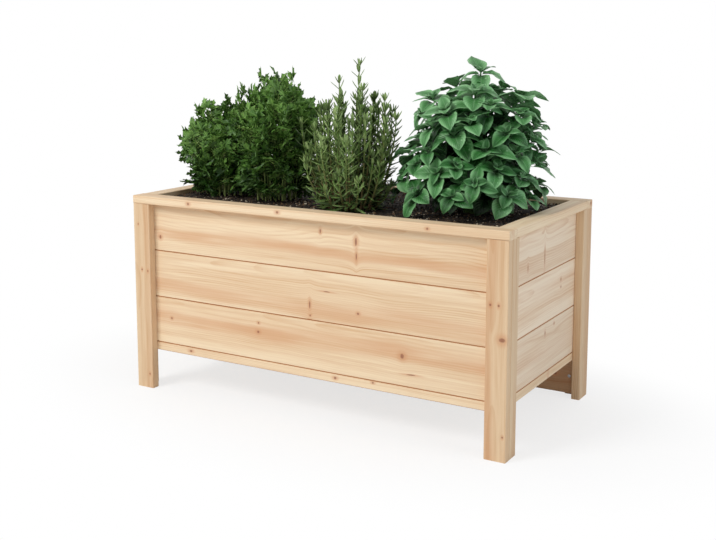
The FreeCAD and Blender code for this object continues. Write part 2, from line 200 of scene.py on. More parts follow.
class Tree:
    """Adds linked nodes to one shader tree."""

    def __init__(self, tree):
        self.tree = tree

    def feed(self, socket, value):
        """Links a socket to another one, or gives it a value."""
        if isinstance(value, bpy.types.NodeSocket):
            self.tree.links.new(value, socket)
        elif socket.type == "RGBA" and len(value) == 3:
            socket.default_value = (*value, 1)
        else:
            socket.default_value = value

    def fed(self, node, inputs):
        """A node, once it has some of its inputs, by name or by number."""
        for socket, value in inputs.items():
            self.feed(node.inputs[socket], value)
        return node

    def node(self, kind, inputs=None, **settings):
        made = self.tree.nodes.new(f"ShaderNode{kind}")
        for name, value in settings.items():
            setattr(made, name, value)
        return self.fed(made, inputs or {})

    def math(self, operation, *values, clamp=False):
        """A number worked out from left to right."""
        while len(values) > 2:
            values = (self.math(operation, *values[:2]), *values[2:])
        inputs = dict(enumerate(values))
        return self.node("Math", inputs, operation=operation, use_clamp=clamp).outputs[0]

    def add(self, *values, clamp=False):
        return self.math("ADD", *values, clamp=clamp)

    def times(self, *values, clamp=False):
        return self.math("MULTIPLY", *values, clamp=clamp)

    def vector(self, operation, *values):
        made = self.node("VectorMath", dict(enumerate(values)), operation=operation)
        return made.outputs["Value" if operation == "LENGTH" else "Vector"]

    def noise(self, place, scale, detail=2.0, roughness=0.5):
        """Cloudy noise. A scale of three numbers stretches it along the axes."""
        if isinstance(scale, tuple):
            place, scale = self.vector("MULTIPLY", place, scale), 1.0
        inputs = {"Vector": place, "Scale": scale, "Detail": detail, "Roughness": roughness}
        return self.node("TexNoise", inputs).outputs["Fac"]

    def spread(self, value, low, high, to_low=0.0, to_high=1.0):
        """A number carried smoothly from one range to another, and held at its ends."""
        inputs = {"Value": value, "From Min": low, "From Max": high, "To Min": to_low, "To Max": to_high}
        return self.node("MapRange", inputs, interpolation_type="SMOOTHSTEP").outputs["Result"]

    def mix(self, share, first, second, blend="MIX"):
        inputs = {0: share, 6: first, 7: second}
        return self.node("Mix", inputs, data_type="RGBA", blend_type=blend).outputs[2]

    def parts(self, vector):
        """The three numbers of a vector."""
        return self.node("SeparateXYZ", {"Vector": vector}).outputs

    def joined(self, x, y, z):
        return self.node("CombineXYZ", {"X": x, "Y": y, "Z": z}).outputs[0]

    def place(self):
        return self.node("TexCoord").outputs["Object"]

    def facing(self):
        return self.parts(self.node("TexCoord").outputs["Normal"])

    def carried(self, name, output):
        """What the mesh carries at each point under a name."""
        return self.node("Attribute", attribute_name=name).outputs[output]

    def bump(self, strength, distance, height):
        inputs = {"Strength": strength, "Distance": distance, "Height": height}
        return self.node("Bump", inputs).outputs["Normal"]

    def effect(self, group, inputs):
        """What a node group puts out for some inputs."""
        return self.node("Group", inputs, node_tree=group).outputs


class Finish(Tree):
    """A new material: its tree and its surface shader."""

    def __init__(self, name):
        self.material = bpy.data.materials.new(name)
        self.material.use_nodes = True
        super().__init__(self.material.node_tree)
        self.surface = self.tree.nodes["Principled BSDF"]

    def finished(self, looks):
        self.fed(self.surface, looks)
        return self.material


class Effect(Tree):
    """A new shader node group with named sockets."""

    def __init__(self, name, inputs, outputs):
        super().__init__(bpy.data.node_groups.new(name, "ShaderNodeTree"))
        for direction, sockets in (("INPUT", inputs), ("OUTPUT", outputs)):
            for socket, kind in sockets.items():
                self.tree.interface.new_socket(socket, in_out=direction, socket_type=f"NodeSocket{kind}")
        self.given = self.tree.nodes.new("NodeGroupInput").outputs
        self.leave = self.tree.nodes.new("NodeGroupOutput")

    def finished(self, results):
        self.fed(self.leave, results)
        return self.tree


@functools.cache
def knot_group():
    """Bends the grain round a knot, and gives the knot's mask and its halo's."""
    tree = Effect(
        "fir_knot",
        {"Place": "Vector", "Centre": "Vector", "Reach": "Vector"},
        {"Place": "Vector", "Knot": "Float", "Halo": "Float"},
    )
    given = tree.given
    offset = tree.vector("SUBTRACT", given["Place"], given["Centre"])
    scaled = tree.vector("DIVIDE", offset, given["Reach"])
    ragged = tree.noise(given["Place"], 420.0)
    distance = tree.add(tree.vector("LENGTH", scaled), tree.times(ragged, 0.5))
    square = tree.math("POWER", distance, 2.0)
    kept = tree.math("DIVIDE", square, tree.add(square, 2.8))
    along, across, depth = tree.parts(offset)
    held = tree.joined(along, tree.times(across, kept), depth)
    longer = tree.vector("LENGTH", tree.vector("MULTIPLY", scaled, (0.32, 0.5, 0.5)))
    results = {"Place": tree.vector("ADD", held, given["Centre"])}
    results["Knot"] = tree.spread(distance, 1.35, 0.75)
    results["Halo"] = tree.spread(longer, 1.25, 0.2)
    return tree.finished(results)


@functools.cache
def grain_group():
    """Growth rings round a pith outside the board, heart band, fibres and their relief."""
    inputs = dict.fromkeys(("Place", "Pith"), "Vector")
    inputs |= dict.fromkeys(("Seed", "Ring Width", "Band Place", "Band Width", "Band Strength"), "Float")
    inputs |= dict.fromkeys(("Early", "Late", "Band"), "Color")
    tree = Effect("fir_grain", inputs, {"Color": "Color", "Relief": "Float", "Rings": "Float"})
    given = tree.given
    seed = given["Seed"]
    place = tree.vector("ADD", given["Place"], tree.joined(seed, seed, seed))
    wander = tree.math("SUBTRACT", tree.noise(place, (2.6, 9.0, 9.0)), 0.5)
    from_pith = tree.vector("SUBTRACT", given["Place"], given["Pith"])
    distance = tree.vector("LENGTH", tree.vector("MULTIPLY", from_pith, (0.018, 1.0, 1.0)))
    distance = tree.add(distance, tree.times(wander, 0.03))
    turn = tree.math("FRACT", tree.math("DIVIDE", distance, given["Ring Width"]))
    uneven = tree.spread(tree.noise(place, (3.0, 60.0, 60.0)), 0.3, 0.75, 0.1, 1.0)
    late = tree.times(tree.spread(turn, 0.35, 0.9), tree.spread(turn, 1.0, 0.93), uneven)
    fibre = tree.noise(place, (14.0, 900.0, 900.0), 2.0, 0.6)
    broad = tree.spread(tree.noise(place, (1.6, 26.0, 26.0), 3.0), 0.34, 0.7)
    narrow = tree.noise(place, (1.3, 130.0, 130.0), 3.0)
    tone = tree.add(
        tree.times(late, 0.42),
        tree.times(broad, 0.42),
        tree.spread(narrow, 0.3, 0.7, -0.17, 0.17),
        tree.spread(fibre, 0.3, 0.7, -0.11, 0.11),
        clamp=True,
    )
    wood = tree.mix(tone, given["Early"], given["Late"])
    across = tree.add(tree.parts(given["Place"])["Y"], tree.times(wander, 0.05))
    from_band = tree.math("DIVIDE", tree.math("SUBTRACT", across, given["Band Place"]), given["Band Width"])
    patchy = tree.spread(tree.noise(place, (5.0, 40.0, 40.0)), 0.25, 0.7, 0.35, 1.0)
    band = tree.spread(tree.math("ABSOLUTE", from_band), 1.0, 0.15)
    colour = tree.mix(tree.times(band, patchy, given["Band Strength"]), wood, given["Band"])
    relief = tree.math("SUBTRACT", tree.times(fibre, 0.6), tree.times(late, 0.3))
    return tree.finished({"Color": colour, "Relief": relief, "Rings": late})


@functools.cache
def blotch_group():
    """Soft patches and fine specks, for surfaces that are never quite one colour."""
    layers = (("Patches", "Patch Size", 0.35, 0.65), ("Specks", "Speck Size", 0.45, 0.62))
    inputs = {"Place": "Vector", "Patch Size": "Float", "Speck Size": "Float"}
    tree = Effect("blotches", inputs, {"Patches": "Float", "Specks": "Float"})
    results = {}
    for output, size, low, high in layers:
        scale = tree.math("DIVIDE", 1.0, tree.given[size])
        results[output] = tree.spread(tree.noise(tree.given["Place"], scale, 3.0), low, high)
    return tree.finished(results)


def blotches(tree, patch_size, speck_size):
    """The patches and the specks of one material."""
    inputs = {"Place": tree.place(), "Patch Size": patch_size, "Speck Size": speck_size}
    return tree.effect(blotch_group(), inputs)


@functools.cache
def leaf_group():
    """Midrib, side veins and edge of a leaf, from its own coordinates across and along."""
    inputs = dict.fromkeys(("Across", "Along", "Vein Count", "Vein Slant"), "Float")
    tree = Effect("leaf_veins", inputs, dict.fromkeys(("Midrib", "Veins", "Edge", "Relief"), "Float"))
    given = tree.given
    side = tree.math("ABSOLUTE", given["Across"])
    slanted = tree.math("SUBTRACT", given["Along"], tree.times(side, given["Vein Slant"]))
    wave = tree.math("PINGPONG", tree.times(slanted, given["Vein Count"]), 0.5)
    results = {"Midrib": tree.spread(side, 0.12, 0.02)}
    results["Veins"] = tree.spread(wave, 0.12, 0.0)
    results["Edge"] = tree.spread(side, 0.3, 1.0)
    hollow = tree.times(results["Midrib"], 1.2)
    results["Relief"] = tree.math("SUBTRACT", tree.spread(wave, 0.0, 0.5), hollow)
    return tree.finished(results)


# ---- Wood -------------------------------------------------------------------

# Knots of single boards, in millimetres: middle, then reach along, across and into the board
KNOTS = {
    "rim_front": [
        ((-298, -234, 437), (3.2, 8, 3.4)),
        ((-61, -234, 438), (3.4, 8, 3.2)),
        ((288, -234, 435), (2.8, 8, 2.8)),
    ],
    "rim_back": [((457, 225, 438), (9, 4.0, 4.0))],
    "wall_board_front_3": [
        ((118, -215, 390), (3.0, 10, 12)),
        ((119, -215, 366), (1.6, 9, 12)),
        ((33, -215, 404), (2.0, 5, 12)),
        ((-396, -215, 352), (3.4, 5, 12)),
    ],
    "wall_board_front_2": [
        ((6, -215, 246), (1.9, 9, 12)),
        ((7, -215, 229), (2.0, 2.4, 12)),
        ((6, -215, 219), (2.0, 3.0, 12)),
        ((123, -215, 242), (2.6, 3.0, 12)),
        ((48, -215, 278), (9, 1.2, 12)),
    ],
    "wall_board_front_1": [
        ((-368, -215, 167), (2.4, 3.0, 12)),
        ((-126, -215, 189), (2.2, 2.6, 12)),
        ((-127, -215, 170), (3.4, 3.4, 12)),
        ((225, -215, 169), (4.6, 6.0, 14)),
        ((245, -215, 135), (11, 1.5, 12)),
    ],
    "bottom_rail_front": [
        ((-314, -215, 98), (4.0, 10, 3.2)),
        ((68, -215, 98), (3.4, 10, 3.2)),
        ((158, -215, 103), (2.6, 10, 2.4)),
    ],
    "leg_face_front_left": [
        ((-436, -234, 276), (2.6, 2.4, 8)),
        ((-420, -234, 274), (2.4, 2.2, 8)),
        ((-444, -234, 380), (2.0, 1.8, 8)),
        ((-421, -234, 33), (2.4, 2.2, 8)),
    ],
    "leg_face_front_right": [
        ((421, -234, 303), (3.0, 2.8, 8)),
        ((437, -234, 303), (3.0, 2.8, 8)),
        ((446, -234, 238), (5.0, 7.5, 9)),
        ((450, -234, 50), (2.2, 2.0, 8)),
    ],
    "wall_board_right_3": [((438, -91, 348), (1.5, 6, 12)), ((438, 0, 355), (1.5, 18, 12))],
    "wall_board_right_2": [((438, 99, 289), (2.0, 3.5, 12)), ((438, 100, 274), (2.0, 2.4, 12))],
    "wall_board_right_1": [((438, 12, 192), (1.8, 5, 12)), ((438, 64, 201), (1.8, 3.0, 12))],
    "kick_board_back": [((330, 196, 58), (6, 5, 14)), ((395, 196, 50), (5, 4.5, 14))],
}

# Heart bands of single boards: place across the board and half width, in millimetres, strength
BANDS = {
    "wall_board_front_3": (-8, 24, 0.75),
    "wall_board_front_2": (-32, 30, 0.6),
    "wall_board_front_1": (14, 26, 0.8),
    "rim_front": (-4, 12, 0.4),
    "bottom_rail_front": (2, 16, 0.35),
    "leg_face_front_left": (14, 14, 0.35),
    "leg_face_front_right": (-8, 16, 0.6),
    "wall_board_right_1": (-10, 24, 0.2),
    "wall_board_right_2": (20, 20, 0.2),
    "wall_board_right_3": (-24, 22, 0.2),
}

# Share of each colour channel where the wood of some boards is redder, darker or paler; the kick board's and the
# right-hand walls' shares are painted shade
TINTS_AND_SHADE = {
    "leg_": (0.86, 0.8, 0.745),
    # Painted shade: the kick board is darkened for the shade under the bed
    "kick_board_": (0.6, 0.47, 0.39),
    # Painted shade: the right-hand walls are made cooler and greyer for the cool shaded side of the bed
    "wall_board_right_": (1.02, 1.04, 1.13),
}

# Boards cut from clear wood
CLEAR_BOARDS = ("rim_right", "leg_face_back_right", "leg_return_back_right", "leg_return_front_right")

# Where the counts of single boards' random numbers start
KNOT_SEED = 400
OUTER_BOARD_SEED = 100
INNER_BOARD_SEED = 200


def board_axes(node):
    """A board's middle and size, and its axes in the order along, across and into the board."""
    low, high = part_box(node)
    size = high - low
    return (low + high) / 2, size, sorted(range(3), key=lambda axis: -size[axis])


def seam_dust_and_shade_mask(tree, order):
    """The bevelled edges that make the grooves between boards, where the wood is darkened by painted shade and
    dust.
    """
    facing = tree.facing()
    slopes = [tree.math("ABSOLUTE", facing[axis]) for axis in order[1:]]
    return tree.math("GREATER_THAN", tree.math("MINIMUM", *slopes), 0.5)


def chance_knots(node, number):
    """A few knots right through a board that has none in the list."""
    if node in CLEAR_BOARDS:
        return
    random = np.random.default_rng(KNOT_SEED + number)
    middle, size, order = board_axes(node)
    for _ in range(random.integers(0, 3)):
        centre = np.array(middle)
        centre[order[0]] += random.uniform(-0.42, 0.42) * size[order[0]]
        centre[order[1]] += random.uniform(-0.38, 0.38) * size[order[1]]
        reach = random.uniform(2.0, 4.2)
        yield tuple(centre / MM), (reach, reach * random.uniform(0.8, 1.5), 60)


def board_material(node, number):
    """Fir for one board, with its own place in the tree, heart band and knots."""
    wood = bpy.context.scene.bed_wood
    random = np.random.default_rng(number)
    middle, size, order = board_axes(node)
    tree = Finish(f"fir_{node}")
    parts = tree.parts(tree.vector("SUBTRACT", tree.place(), middle))
    place = tree.joined(*(parts[axis] for axis in order))
    knots = []
    for centre, reach in KNOTS.get(node) or chance_knots(node, number):
        offset = [centre[axis] * MM - middle[axis] for axis in order]
        inputs = {"Place": place, "Centre": offset, "Reach": [r * MM for r in reach]}
        knots.append(tree.effect(knot_group(), inputs))
        place = knots[-1]["Place"]
    width = size[order[1]]
    band_place, band_width, band_strength = BANDS.get(node) or (
        random.uniform(-0.4, 0.4) * width / MM,
        random.uniform(0.12, 0.3) * width / MM,
        random.uniform(0.1, 0.55),
    )
    pith_across = random.uniform(-0.45, 0.45) * width
    pith_depth = random.choice((-1, 1)) * random.uniform(0.025, 0.06)
    # For the kick board and the right-hand walls this share is painted shade
    tint_and_shade = next((tint_and_shade for start, tint_and_shade in TINTS_AND_SHADE.items() if node.startswith(start)), (1, 1, 1))
    tint_and_shade = np.array(tint_and_shade) * random.uniform(0.96, 1.03)
    inputs = {
        "Place": place,
        "Seed": random.uniform(0, 40),
        "Pith": (random.uniform(-0.3, 0.3), pith_across, pith_depth),
        "Ring Width": wood.ring_width,
        "Band Place": band_place * MM,
        "Band Width": band_width * MM,
        "Band Strength": band_strength,
        "Early": tint_and_shade * wood.early,
        "Late": tint_and_shade * wood.late,
        "Band": tint_and_shade * wood.band,
    }
    grain = tree.effect(grain_group(), inputs)
    colour = grain["Color"]
    for mask, strength, shade in (("Halo", 0.55, wood.halo), ("Knot", 0.7, wood.knot)):
        for knot in knots:
            colour = tree.mix(tree.times(knot[mask], strength), colour, shade)
    # Painted shade and dust: the bevels of the grooves between boards are darkened
    if node.startswith(("wall_board_", "bottom_rail_")):
        colour = tree.mix(seam_dust_and_shade_mask(tree, order), colour, wood.seam, "MULTIPLY")
    looks = {"Base Color": colour, "Specular IOR Level": 0.35}
    looks["Roughness"] = tree.spread(grain["Rings"], 0, 1, wood.roughness, wood.roughness - 0.1)
    looks["Normal"] = tree.bump(0.35, 0.0004, grain["Relief"])
    return tree.finished(looks)


def finish_node(node, material):
    """Gives every face of a CAD node one material."""
    slots = NODES[node].material_slots
    if not slots:
        raise RuntimeError(f"{node} has no material slot")
    for slot in slots:
        slot.material = material


def nodes_named(*starts):
    """CAD nodes whose names start with one of these, in order."""
    found = [name for name in sorted(NODES) if name.startswith(starts)]
    if not found:
        raise RuntimeError(f"no CAD node is named {starts}")
    return found


def finish_boards(names, seed):
    """Gives each of some boards a fir of its own."""
    for number, node in enumerate(names, seed):
        finish_node(node, board_material(node, number))


class BED_OT_outer_boards(bpy.types.Operator):
    """Finish the legs, rim, walls, rails and kick board as planed fir"""

    bl_idname = "garden_bed.outer_boards"
    bl_label = "Outer boards"

    def execute(self, context):
        names = nodes_named("leg_", "rim_front", "rim_back", "rim_left", "rim_right")
        names += nodes_named("wall_board_", "bottom_rail_front", "bottom_rail_back")
        names += nodes_named("bottom_rail_left", "bottom_rail_right", "kick_board_")
        finish_boards(names, OUTER_BOARD_SEED)
        return {"FINISHED"}


class BED_OT_inner_boards(bpy.types.Operator):
    """Finish the battens and floor slats as fir"""

    bl_idname = "garden_bed.inner_boards"
    bl_label = "Battens and floor slats"

    def execute(self, context):
        names = nodes_named("corner_batten_front", "corner_batten_back", "middle_batten_", "floor_slat_")
        finish_boards(names, INNER_BOARD_SEED)
        return {"FINISHED"}


# ---- Screws and nails -------------------------------------------------------


def zinc_material():
    """Zinc-plated steel with the cloudy look of the plating."""
    tree = Finish("zinc_plated_steel")
    patches, specks = blotches(tree, 0.003, 0.0004)
    looks = {"Metallic": 1.0, "Roughness": tree.spread(specks, 0, 1, 0.3, 0.45)}
    looks["Base Color"] = tree.mix(patches, linear(188, 190, 194), linear(164, 166, 168))
    return tree.finished(looks)


def filled_nail_material():
    """Nail under wood filler: the filler is what shows from above."""
    wood = bpy.context.scene.bed_wood
    tree = Finish("filled_nail")
    filled = tree.math("GREATER_THAN", tree.facing()["Z"], 0.9)
    filler = tree.mix(blotches(tree, 0.001, 0.0003)["Patches"], wood.early, wood.late)
    looks = {"Base Color": tree.mix(filled, linear(176, 178, 180), filler)}
    looks["Metallic"] = tree.math("SUBTRACT", 1.0, filled)
    looks["Roughness"] = tree.spread(filled, 0, 1, 0.4, 0.75)
    return tree.finished(looks)


class BED_OT_fasteners(bpy.types.Operator):
    """Finish the screws and nails"""

    bl_idname = "garden_bed.fasteners"
    bl_label = "Screws and nails"

    def execute(self, context):
        zinc = zinc_material()
        for node in ("corner_batten_screws", "board_screws", "bottom_rail_screws"):
            finish_node(node, zinc)
        finish_node("rim_nails", filled_nail_material())
        return {"FINISHED"}


# ---- Making pieces ----------------------------------------------------------

# Edges that turn by more than this stay sharp
SHARP_ANGLE = math.radians(65)
# How deep in the soil the stems of basil and rosemary start
STEM_DEPTH = 0.003


def made_object(name, points, faces, material):
    """A new mesh object in the scene, all of one material."""
    mesh = bpy.data.meshes.new(name)
    mesh.from_pydata(points, [], faces)
    mesh.materials.append(material)
    made = bpy.data.objects.new(name, mesh)
    bpy.context.scene.collection.objects.link(made)
    return made


def fit_piece(made, node):
    """Lets a piece ride on the bed in place of a CAD node."""
    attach(made, BODY)
    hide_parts(node)


class Pile:
    """Collects many small surfaces for one piece, with leaf coordinates and a tone for each; on the herbs the
    tone also carries painted shade and painted highlight.
    """

    def __init__(self):
        self.points = []
        self.faces = []
        self.places = []
        self.tones = []
        self.count = 0

    def add(self, points, faces, places=None, tone=0.5):
        self.points.append(points)
        for group in faces:
            self.faces.extend(map(tuple, (group + self.count).tolist()))
        self.places.append(np.zeros_like(points) if places is None else places)
        self.tones.append(np.full(len(points), tone))
        self.count += len(points)

    def piece(self, name, material, slot, node):
        made = made_object(name, np.concatenate(self.points).tolist(), self.faces, material)
        place = made.data.attributes.new("leaf_place", "FLOAT_VECTOR", "POINT")
        place.data.foreach_set("vector", np.concatenate(self.places).ravel())
        tone = made.data.attributes.new("leaf_tone_and_shade", "FLOAT", "POINT")
        tone.data.foreach_set("value", np.concatenate(self.tones))
        made.data.shade_smooth()
        made.data.set_sharp_from_angle(angle=SHARP_ANGLE)
        fit_piece(made, node)


def unit(vector):
    """A direction of length one."""
    vector = np.asarray(vector, float)
    return vector / max(np.linalg.norm(vector), 1e-9)


def compass(turn):
    """The level direction at an angle."""
    return np.array([math.cos(turn), math.sin(turn), 0])


def scattered(count):
    """Spots spread evenly over a round patch: share of its radius, and the way outward."""
    for number in range(count):
        yield math.sqrt((number + 0.5) / count), compass(GOLDEN_ANGLE * number)


def upright_frame(forward, up):
    """Rows: forward, sideways and up, all square to each other."""
    forward = unit(forward)
    side = np.cross(up, forward)
    if np.linalg.norm(side) < 1e-6:
        side = np.cross((1.0, 0.0, 0.0), forward)
    side = unit(side)
    return np.array([forward, side, np.cross(forward, side)])


def turned_round(vector, axis, angle):
    """A vector turned about an axis."""
    return np.array(Matrix.Rotation(angle, 3, Vector(axis)) @ Vector(vector))


def point_along(path, share):
    """What a path holds at a share of its steps."""
    shares = np.linspace(0, 1, len(path))
    return np.array([np.interp(share, shares, path[:, axis]) for axis in range(3)])


def a_little_off(tone, change):
    """A tone that is changed a little and stays between 0 and 1."""
    return float(np.clip(tone + change, 0, 1))


def cells(grid):
    """Four-sided faces between the neighbours in a grid of point numbers."""
    return np.stack([grid[:-1, :-1], grid[1:, :-1], grid[1:, 1:], grid[:-1, 1:]], 2).reshape(-1, 4)


def ring_cells(rings, count):
    """Four-sided faces between rings of points that follow one another."""
    grid = np.arange(rings * count).reshape(rings, count)
    return cells(np.hstack([grid, grid[:, :1]]))[:, (0, 3, 2, 1)]


def kept_clear(points, gap):
    """Points lifted to lie on the soil where they would hang below it."""
    points[:, 2] = np.maximum(points[:, 2], SOIL_LEVEL + gap)
    return points


def midrib(stations, length, rise, bend):
    """Points of a midrib that sets off at an angle and bends down, with its angles."""
    angles = rise - bend * stations
    steps = np.diff(stations, axis=0) * length
    middle = (angles[1:] + angles[:-1]) / 2
    reach = np.concatenate([[[0]], np.cumsum(np.cos(middle) * steps, axis=0)])
    height = np.concatenate([[[0]], np.cumsum(np.sin(middle) * steps, axis=0)])
    return reach, height, angles


class Blade:
    """A closed thin leaf: an upper and a lower layer of points that share their rim."""

    def __init__(self, stations, widths, across, thickness, gap):
        self.along = np.array(stations)[:, None]
        self.widths = np.array(widths)[:, None]
        self.side = np.array(across)[None, :]
        self.thickness = thickness
        self.gap = gap
        rows, columns = len(stations), len(across)
        upper = np.arange(rows * columns).reshape(rows, columns)
        lower = upper.copy()
        inner = (rows - 2) * (columns - 2)
        lower[1:-1, 1:-1] = upper.size + np.arange(inner).reshape(rows - 2, columns - 2)
        self.faces = (cells(upper), cells(lower)[:, ::-1])
        side, along = np.broadcast_arrays(self.side, self.along)
        top = np.stack([side, along, np.zeros_like(along)], 2)
        bottom = top[1:-1, 1:-1] + (0, 0, 1)
        # Leaf coordinates: across, along, and 1 on the lower side
        self.places = np.concatenate([top.reshape(-1, 3), bottom.reshape(-1, 3)])

    def add(self, pile, foot, axes, rib, sideways, lift, tone):
        """Adds one leaf, whose upper side lifts off its midrib."""
        reach, height, angles = rib
        local = np.stack([reach - np.sin(angles) * lift, sideways, height + np.cos(angles) * lift], 2)
        grid = foot + local @ axes
        normal = np.cross(np.gradient(grid, axis=0), np.gradient(grid, axis=1))
        normal /= np.linalg.norm(normal, axis=2, keepdims=True) + 1e-12
        inner = (grid - normal * self.thickness)[1:-1, 1:-1]
        points = np.concatenate([grid.reshape(-1, 3), inner.reshape(-1, 3)])
        pile.add(kept_clear(points, self.gap), self.faces, self.places, tone)


def bowed_path(start, end, bow, count):
    """A path between two points that sets off more upright than it ends."""
    share = np.linspace(0, 1, count)[:, None]
    swell = np.sin(math.pi * share)
    inward = -(end - start) * np.array([1, 1, 0]) * 0.22 * swell
    return start + (end - start) * share + UPWARD * bow * swell + inward


def add_stem(pile, path, radii, sides=6):
    """Adds a closed tube along a path, with its share of the length as leaf coordinate."""
    turns = np.arange(sides) * 2 * math.pi / sides
    rings = []
    for point, tangent, radius in zip(path, np.gradient(path, axis=0), radii):
        axes = upright_frame(tangent, (0.13, 0.31, 0.94))
        ring = np.outer(np.cos(turns), axes[1]) + np.outer(np.sin(turns), axes[2])
        rings.append(point + ring * radius)
    points = np.concatenate(rings)
    corners = np.arange(len(points)).reshape(len(path), sides)
    caps = np.array([corners[0, ::-1], corners[-1]])
    places = np.zeros_like(points)
    places[:, 1] = np.repeat(np.linspace(0, 1, len(path)), sides)
    pile.add(points, (ring_cells(len(path), sides), caps), places)


def leaf_material(name, shade_green, fresh, pale, veins, slant, roughness, relief, lines):
    """Leaf green with painted shade towards the foot and on low tones, pale at veins, edge, lower side and, as
    painted highlight, on high tones.
    """
    tree = Finish(name)
    across, along, below = tree.parts(tree.carried("leaf_place", "Vector"))
    tone = tree.carried("leaf_tone_and_shade", "Fac")
    inputs = {"Across": across, "Along": along, "Vein Count": veins, "Vein Slant": slant}
    pattern = tree.effect(leaf_group(), inputs)
    # Painted shade: the deep green darkens each leaf towards its foot and its middle, and whole leaves of low
    # tone
    share = tree.times(
        tree.spread(along, 0.05, 0.6, 0.25, 1.0),
        tree.spread(tone, 0, 1, 0.12, 1.3),
        tree.spread(pattern["Edge"], 0, 1, 0.72, 1.3),
    )
    uneven = tree.spread(blotches(tree, 0.02, 0.002)["Patches"], 0, 1, -0.12, 0.12)
    colour = tree.mix(tree.add(share, uneven, clamp=True), shade_green, fresh)
    light = tree.add(
        tree.times(pattern["Edge"], 0.5),
        tree.times(pattern["Midrib"], 0.35 * lines),
        tree.times(pattern["Veins"], 0.22 * lines),
        tree.times(below, 0.45),
        # Painted highlight: leaves of high tone get more pale green
        tree.spread(tone, 0.45, 1, 0, 0.14),
    )
    # Painted shade: leaves of low tone get less pale green
    light = tree.times(light, tree.spread(tone, 0, 1, 0.12, 1.15), clamp=True)
    looks = {"Base Color": tree.mix(light, colour, pale), "Specular IOR Level": 0.34}
    looks["Roughness"] = tree.add(roughness, tree.times(below, 0.25))
    looks["Normal"] = tree.bump(0.6, relief, pattern["Relief"])
    return tree.finished(looks)


def stem_material(name, low, high, roughness):
    """Stem whose colour changes from its foot to its tip, with patches and darker specks."""
    tree = Finish(name)
    along = tree.parts(tree.carried("leaf_place", "Vector"))["Y"]
    patches, specks = blotches(tree, 0.008, 0.0012)
    share = tree.add(along, tree.spread(patches, 0, 1, -0.2, 0.2), clamp=True)
    colour = tree.mix(tree.times(specks, 0.3), tree.mix(share, low, high), (0.01, 0.012, 0.008))
    looks = {"Base Color": colour, "Roughness": roughness, "Normal": tree.bump(0.4, 0.0004, specks)}
    return tree.finished(looks)


# ---- Basil ------------------------------------------------------------------

BASIL_SEED = 5
BASIL_PLACE = (0.278, -0.008)
BASIL_FOOT_RADIUS = 0.014
# How fast the dome narrows towards its top: 0 would be a cylinder
BASIL_NARROWING = 0.3
# Reach of the shoot tips towards the right-hand rim
BASIL_REACH = 0.128
# Height of the lowest tips, as a share of the dome's height
LOWEST_TIP = 0.13
# Share of a stem, from its tip, that carries leaves
LEAFY_SHARE = 0.55
BASIL_LOOKS = {"veins": 9.0, "slant": 0.35, "roughness": 0.37, "relief": 0.0011, "lines": 0.4}
BASIL_BLADE = Blade(
    [0, 0.09, 0.17, 0.28, 0.41, 0.55, 0.68, 0.8, 0.91, 1],
    [0.05, 0.08, 0.54, 0.88, 1.0, 0.96, 0.8, 0.56, 0.28, 0.02],
    [-1, -0.72, -0.34, 0, 0.34, 0.72, 1],
    0.0005,
    0.002,
)


def basil_leaf(pile, foot, forward, up, size, rise, bend, tone, twist, cup):
    """Adds an ovate leaf, cupped near its foot, arched along its length and drawn to a tip."""
    length, width = size
    along, side = BASIL_BLADE.along, BASIL_BLADE.side
    half = BASIL_BLADE.widths * width / 2
    hollow = cup - (cup + 0.42) * along
    lift = half * (0.12 * np.abs(side) + hollow * side**2)
    lift = lift + 0.05 * half * np.sin(along * 21 + side * 2.2) * np.abs(side)
    sideways = side * half * 0.94 + twist * half * along
    rib = midrib(along, length, math.radians(rise), math.radians(bend))
    BASIL_BLADE.add(pile, foot, upright_frame(forward, up), rib, sideways, lift, tone)


# How far the top of the bush leans over, in metres
BASIL_LEAN = (0.012, 0.007, 0)

# Pairs of leaves from the outside of a rosette to its middle: share of the full length,
# angle above the level in degrees, bend in degrees, and depth below the tip in millimetres
BASIL_PAIRS = [(1.0, 22, 70, 14), (0.94, 34, 76, 8), (0.62, 52, 74, 4), (0.36, 64, 50, 1)]

# Pairs further down a shoot: depth below the tip in metres, and share of the full length
BASIL_LOWER_PAIRS = [(0.032, 1.06), (0.06, 1.0), (0.092, 0.9)]

# Leaves of the leading shoot: depth below its tip in millimetres, compass direction,
# share of the full length, angle above the level and bend, both in degrees
BASIL_LEADER = [
    (4, 138, 0.98, 54, 36),
    (6, 216, 0.8, 20, 74),
    (5, 2, 0.95, 16, 66),
    (6, 296, 0.95, -14, 50),
    (3, 76, 0.8, 44, 60),
    (1, 262, 0.45, 50, 60),
    (0, 170, 0.36, 66, 40),
    (42, 150, 1.05, 52, 50),
    (44, 330, 1.0, 8, 72),
    (38, 60, 0.95, 34, 84),
    (40, 240, 1.05, 30, 86),
    (34, 285, 0.6, 60, 70),
    (72, 195, 1.0, 30, 80),
    (74, 15, 1.05, 28, 80),
    (70, 105, 0.95, 34, 80),
    (76, 290, 1.0, 6, 66),
]


def leaf_pair(pile, foot, axis, turn, size, rise, bend, tone, random):
    """Adds two opposite basil leaves, each a little different."""
    settings = bpy.context.scene.bed_basil
    level = upright_frame(np.cross(axis, (0.3, 0.9, 0.1)), axis)[0]
    for half_turn in (0, math.pi):
        length = settings.leaf_length * size * random.uniform(0.88, 1.06)
        forward = turned_round(level, axis, turn + half_turn + random.uniform(-0.22, 0.22))
        width = settings.leaf_width * size * random.uniform(0.9, 1.06)
        own_rise = rise + random.uniform(-12, 12)
        own_bend = bend + random.uniform(-20, 24)
        own_tone = a_little_off(tone, random.uniform(-0.2, 0.2))
        twist, cup = random.uniform(-0.2, 0.2), random.uniform(0.15, 0.8)
        basil_leaf(pile, foot, forward, axis, (length, width), own_rise, own_bend, own_tone, twist, cup)


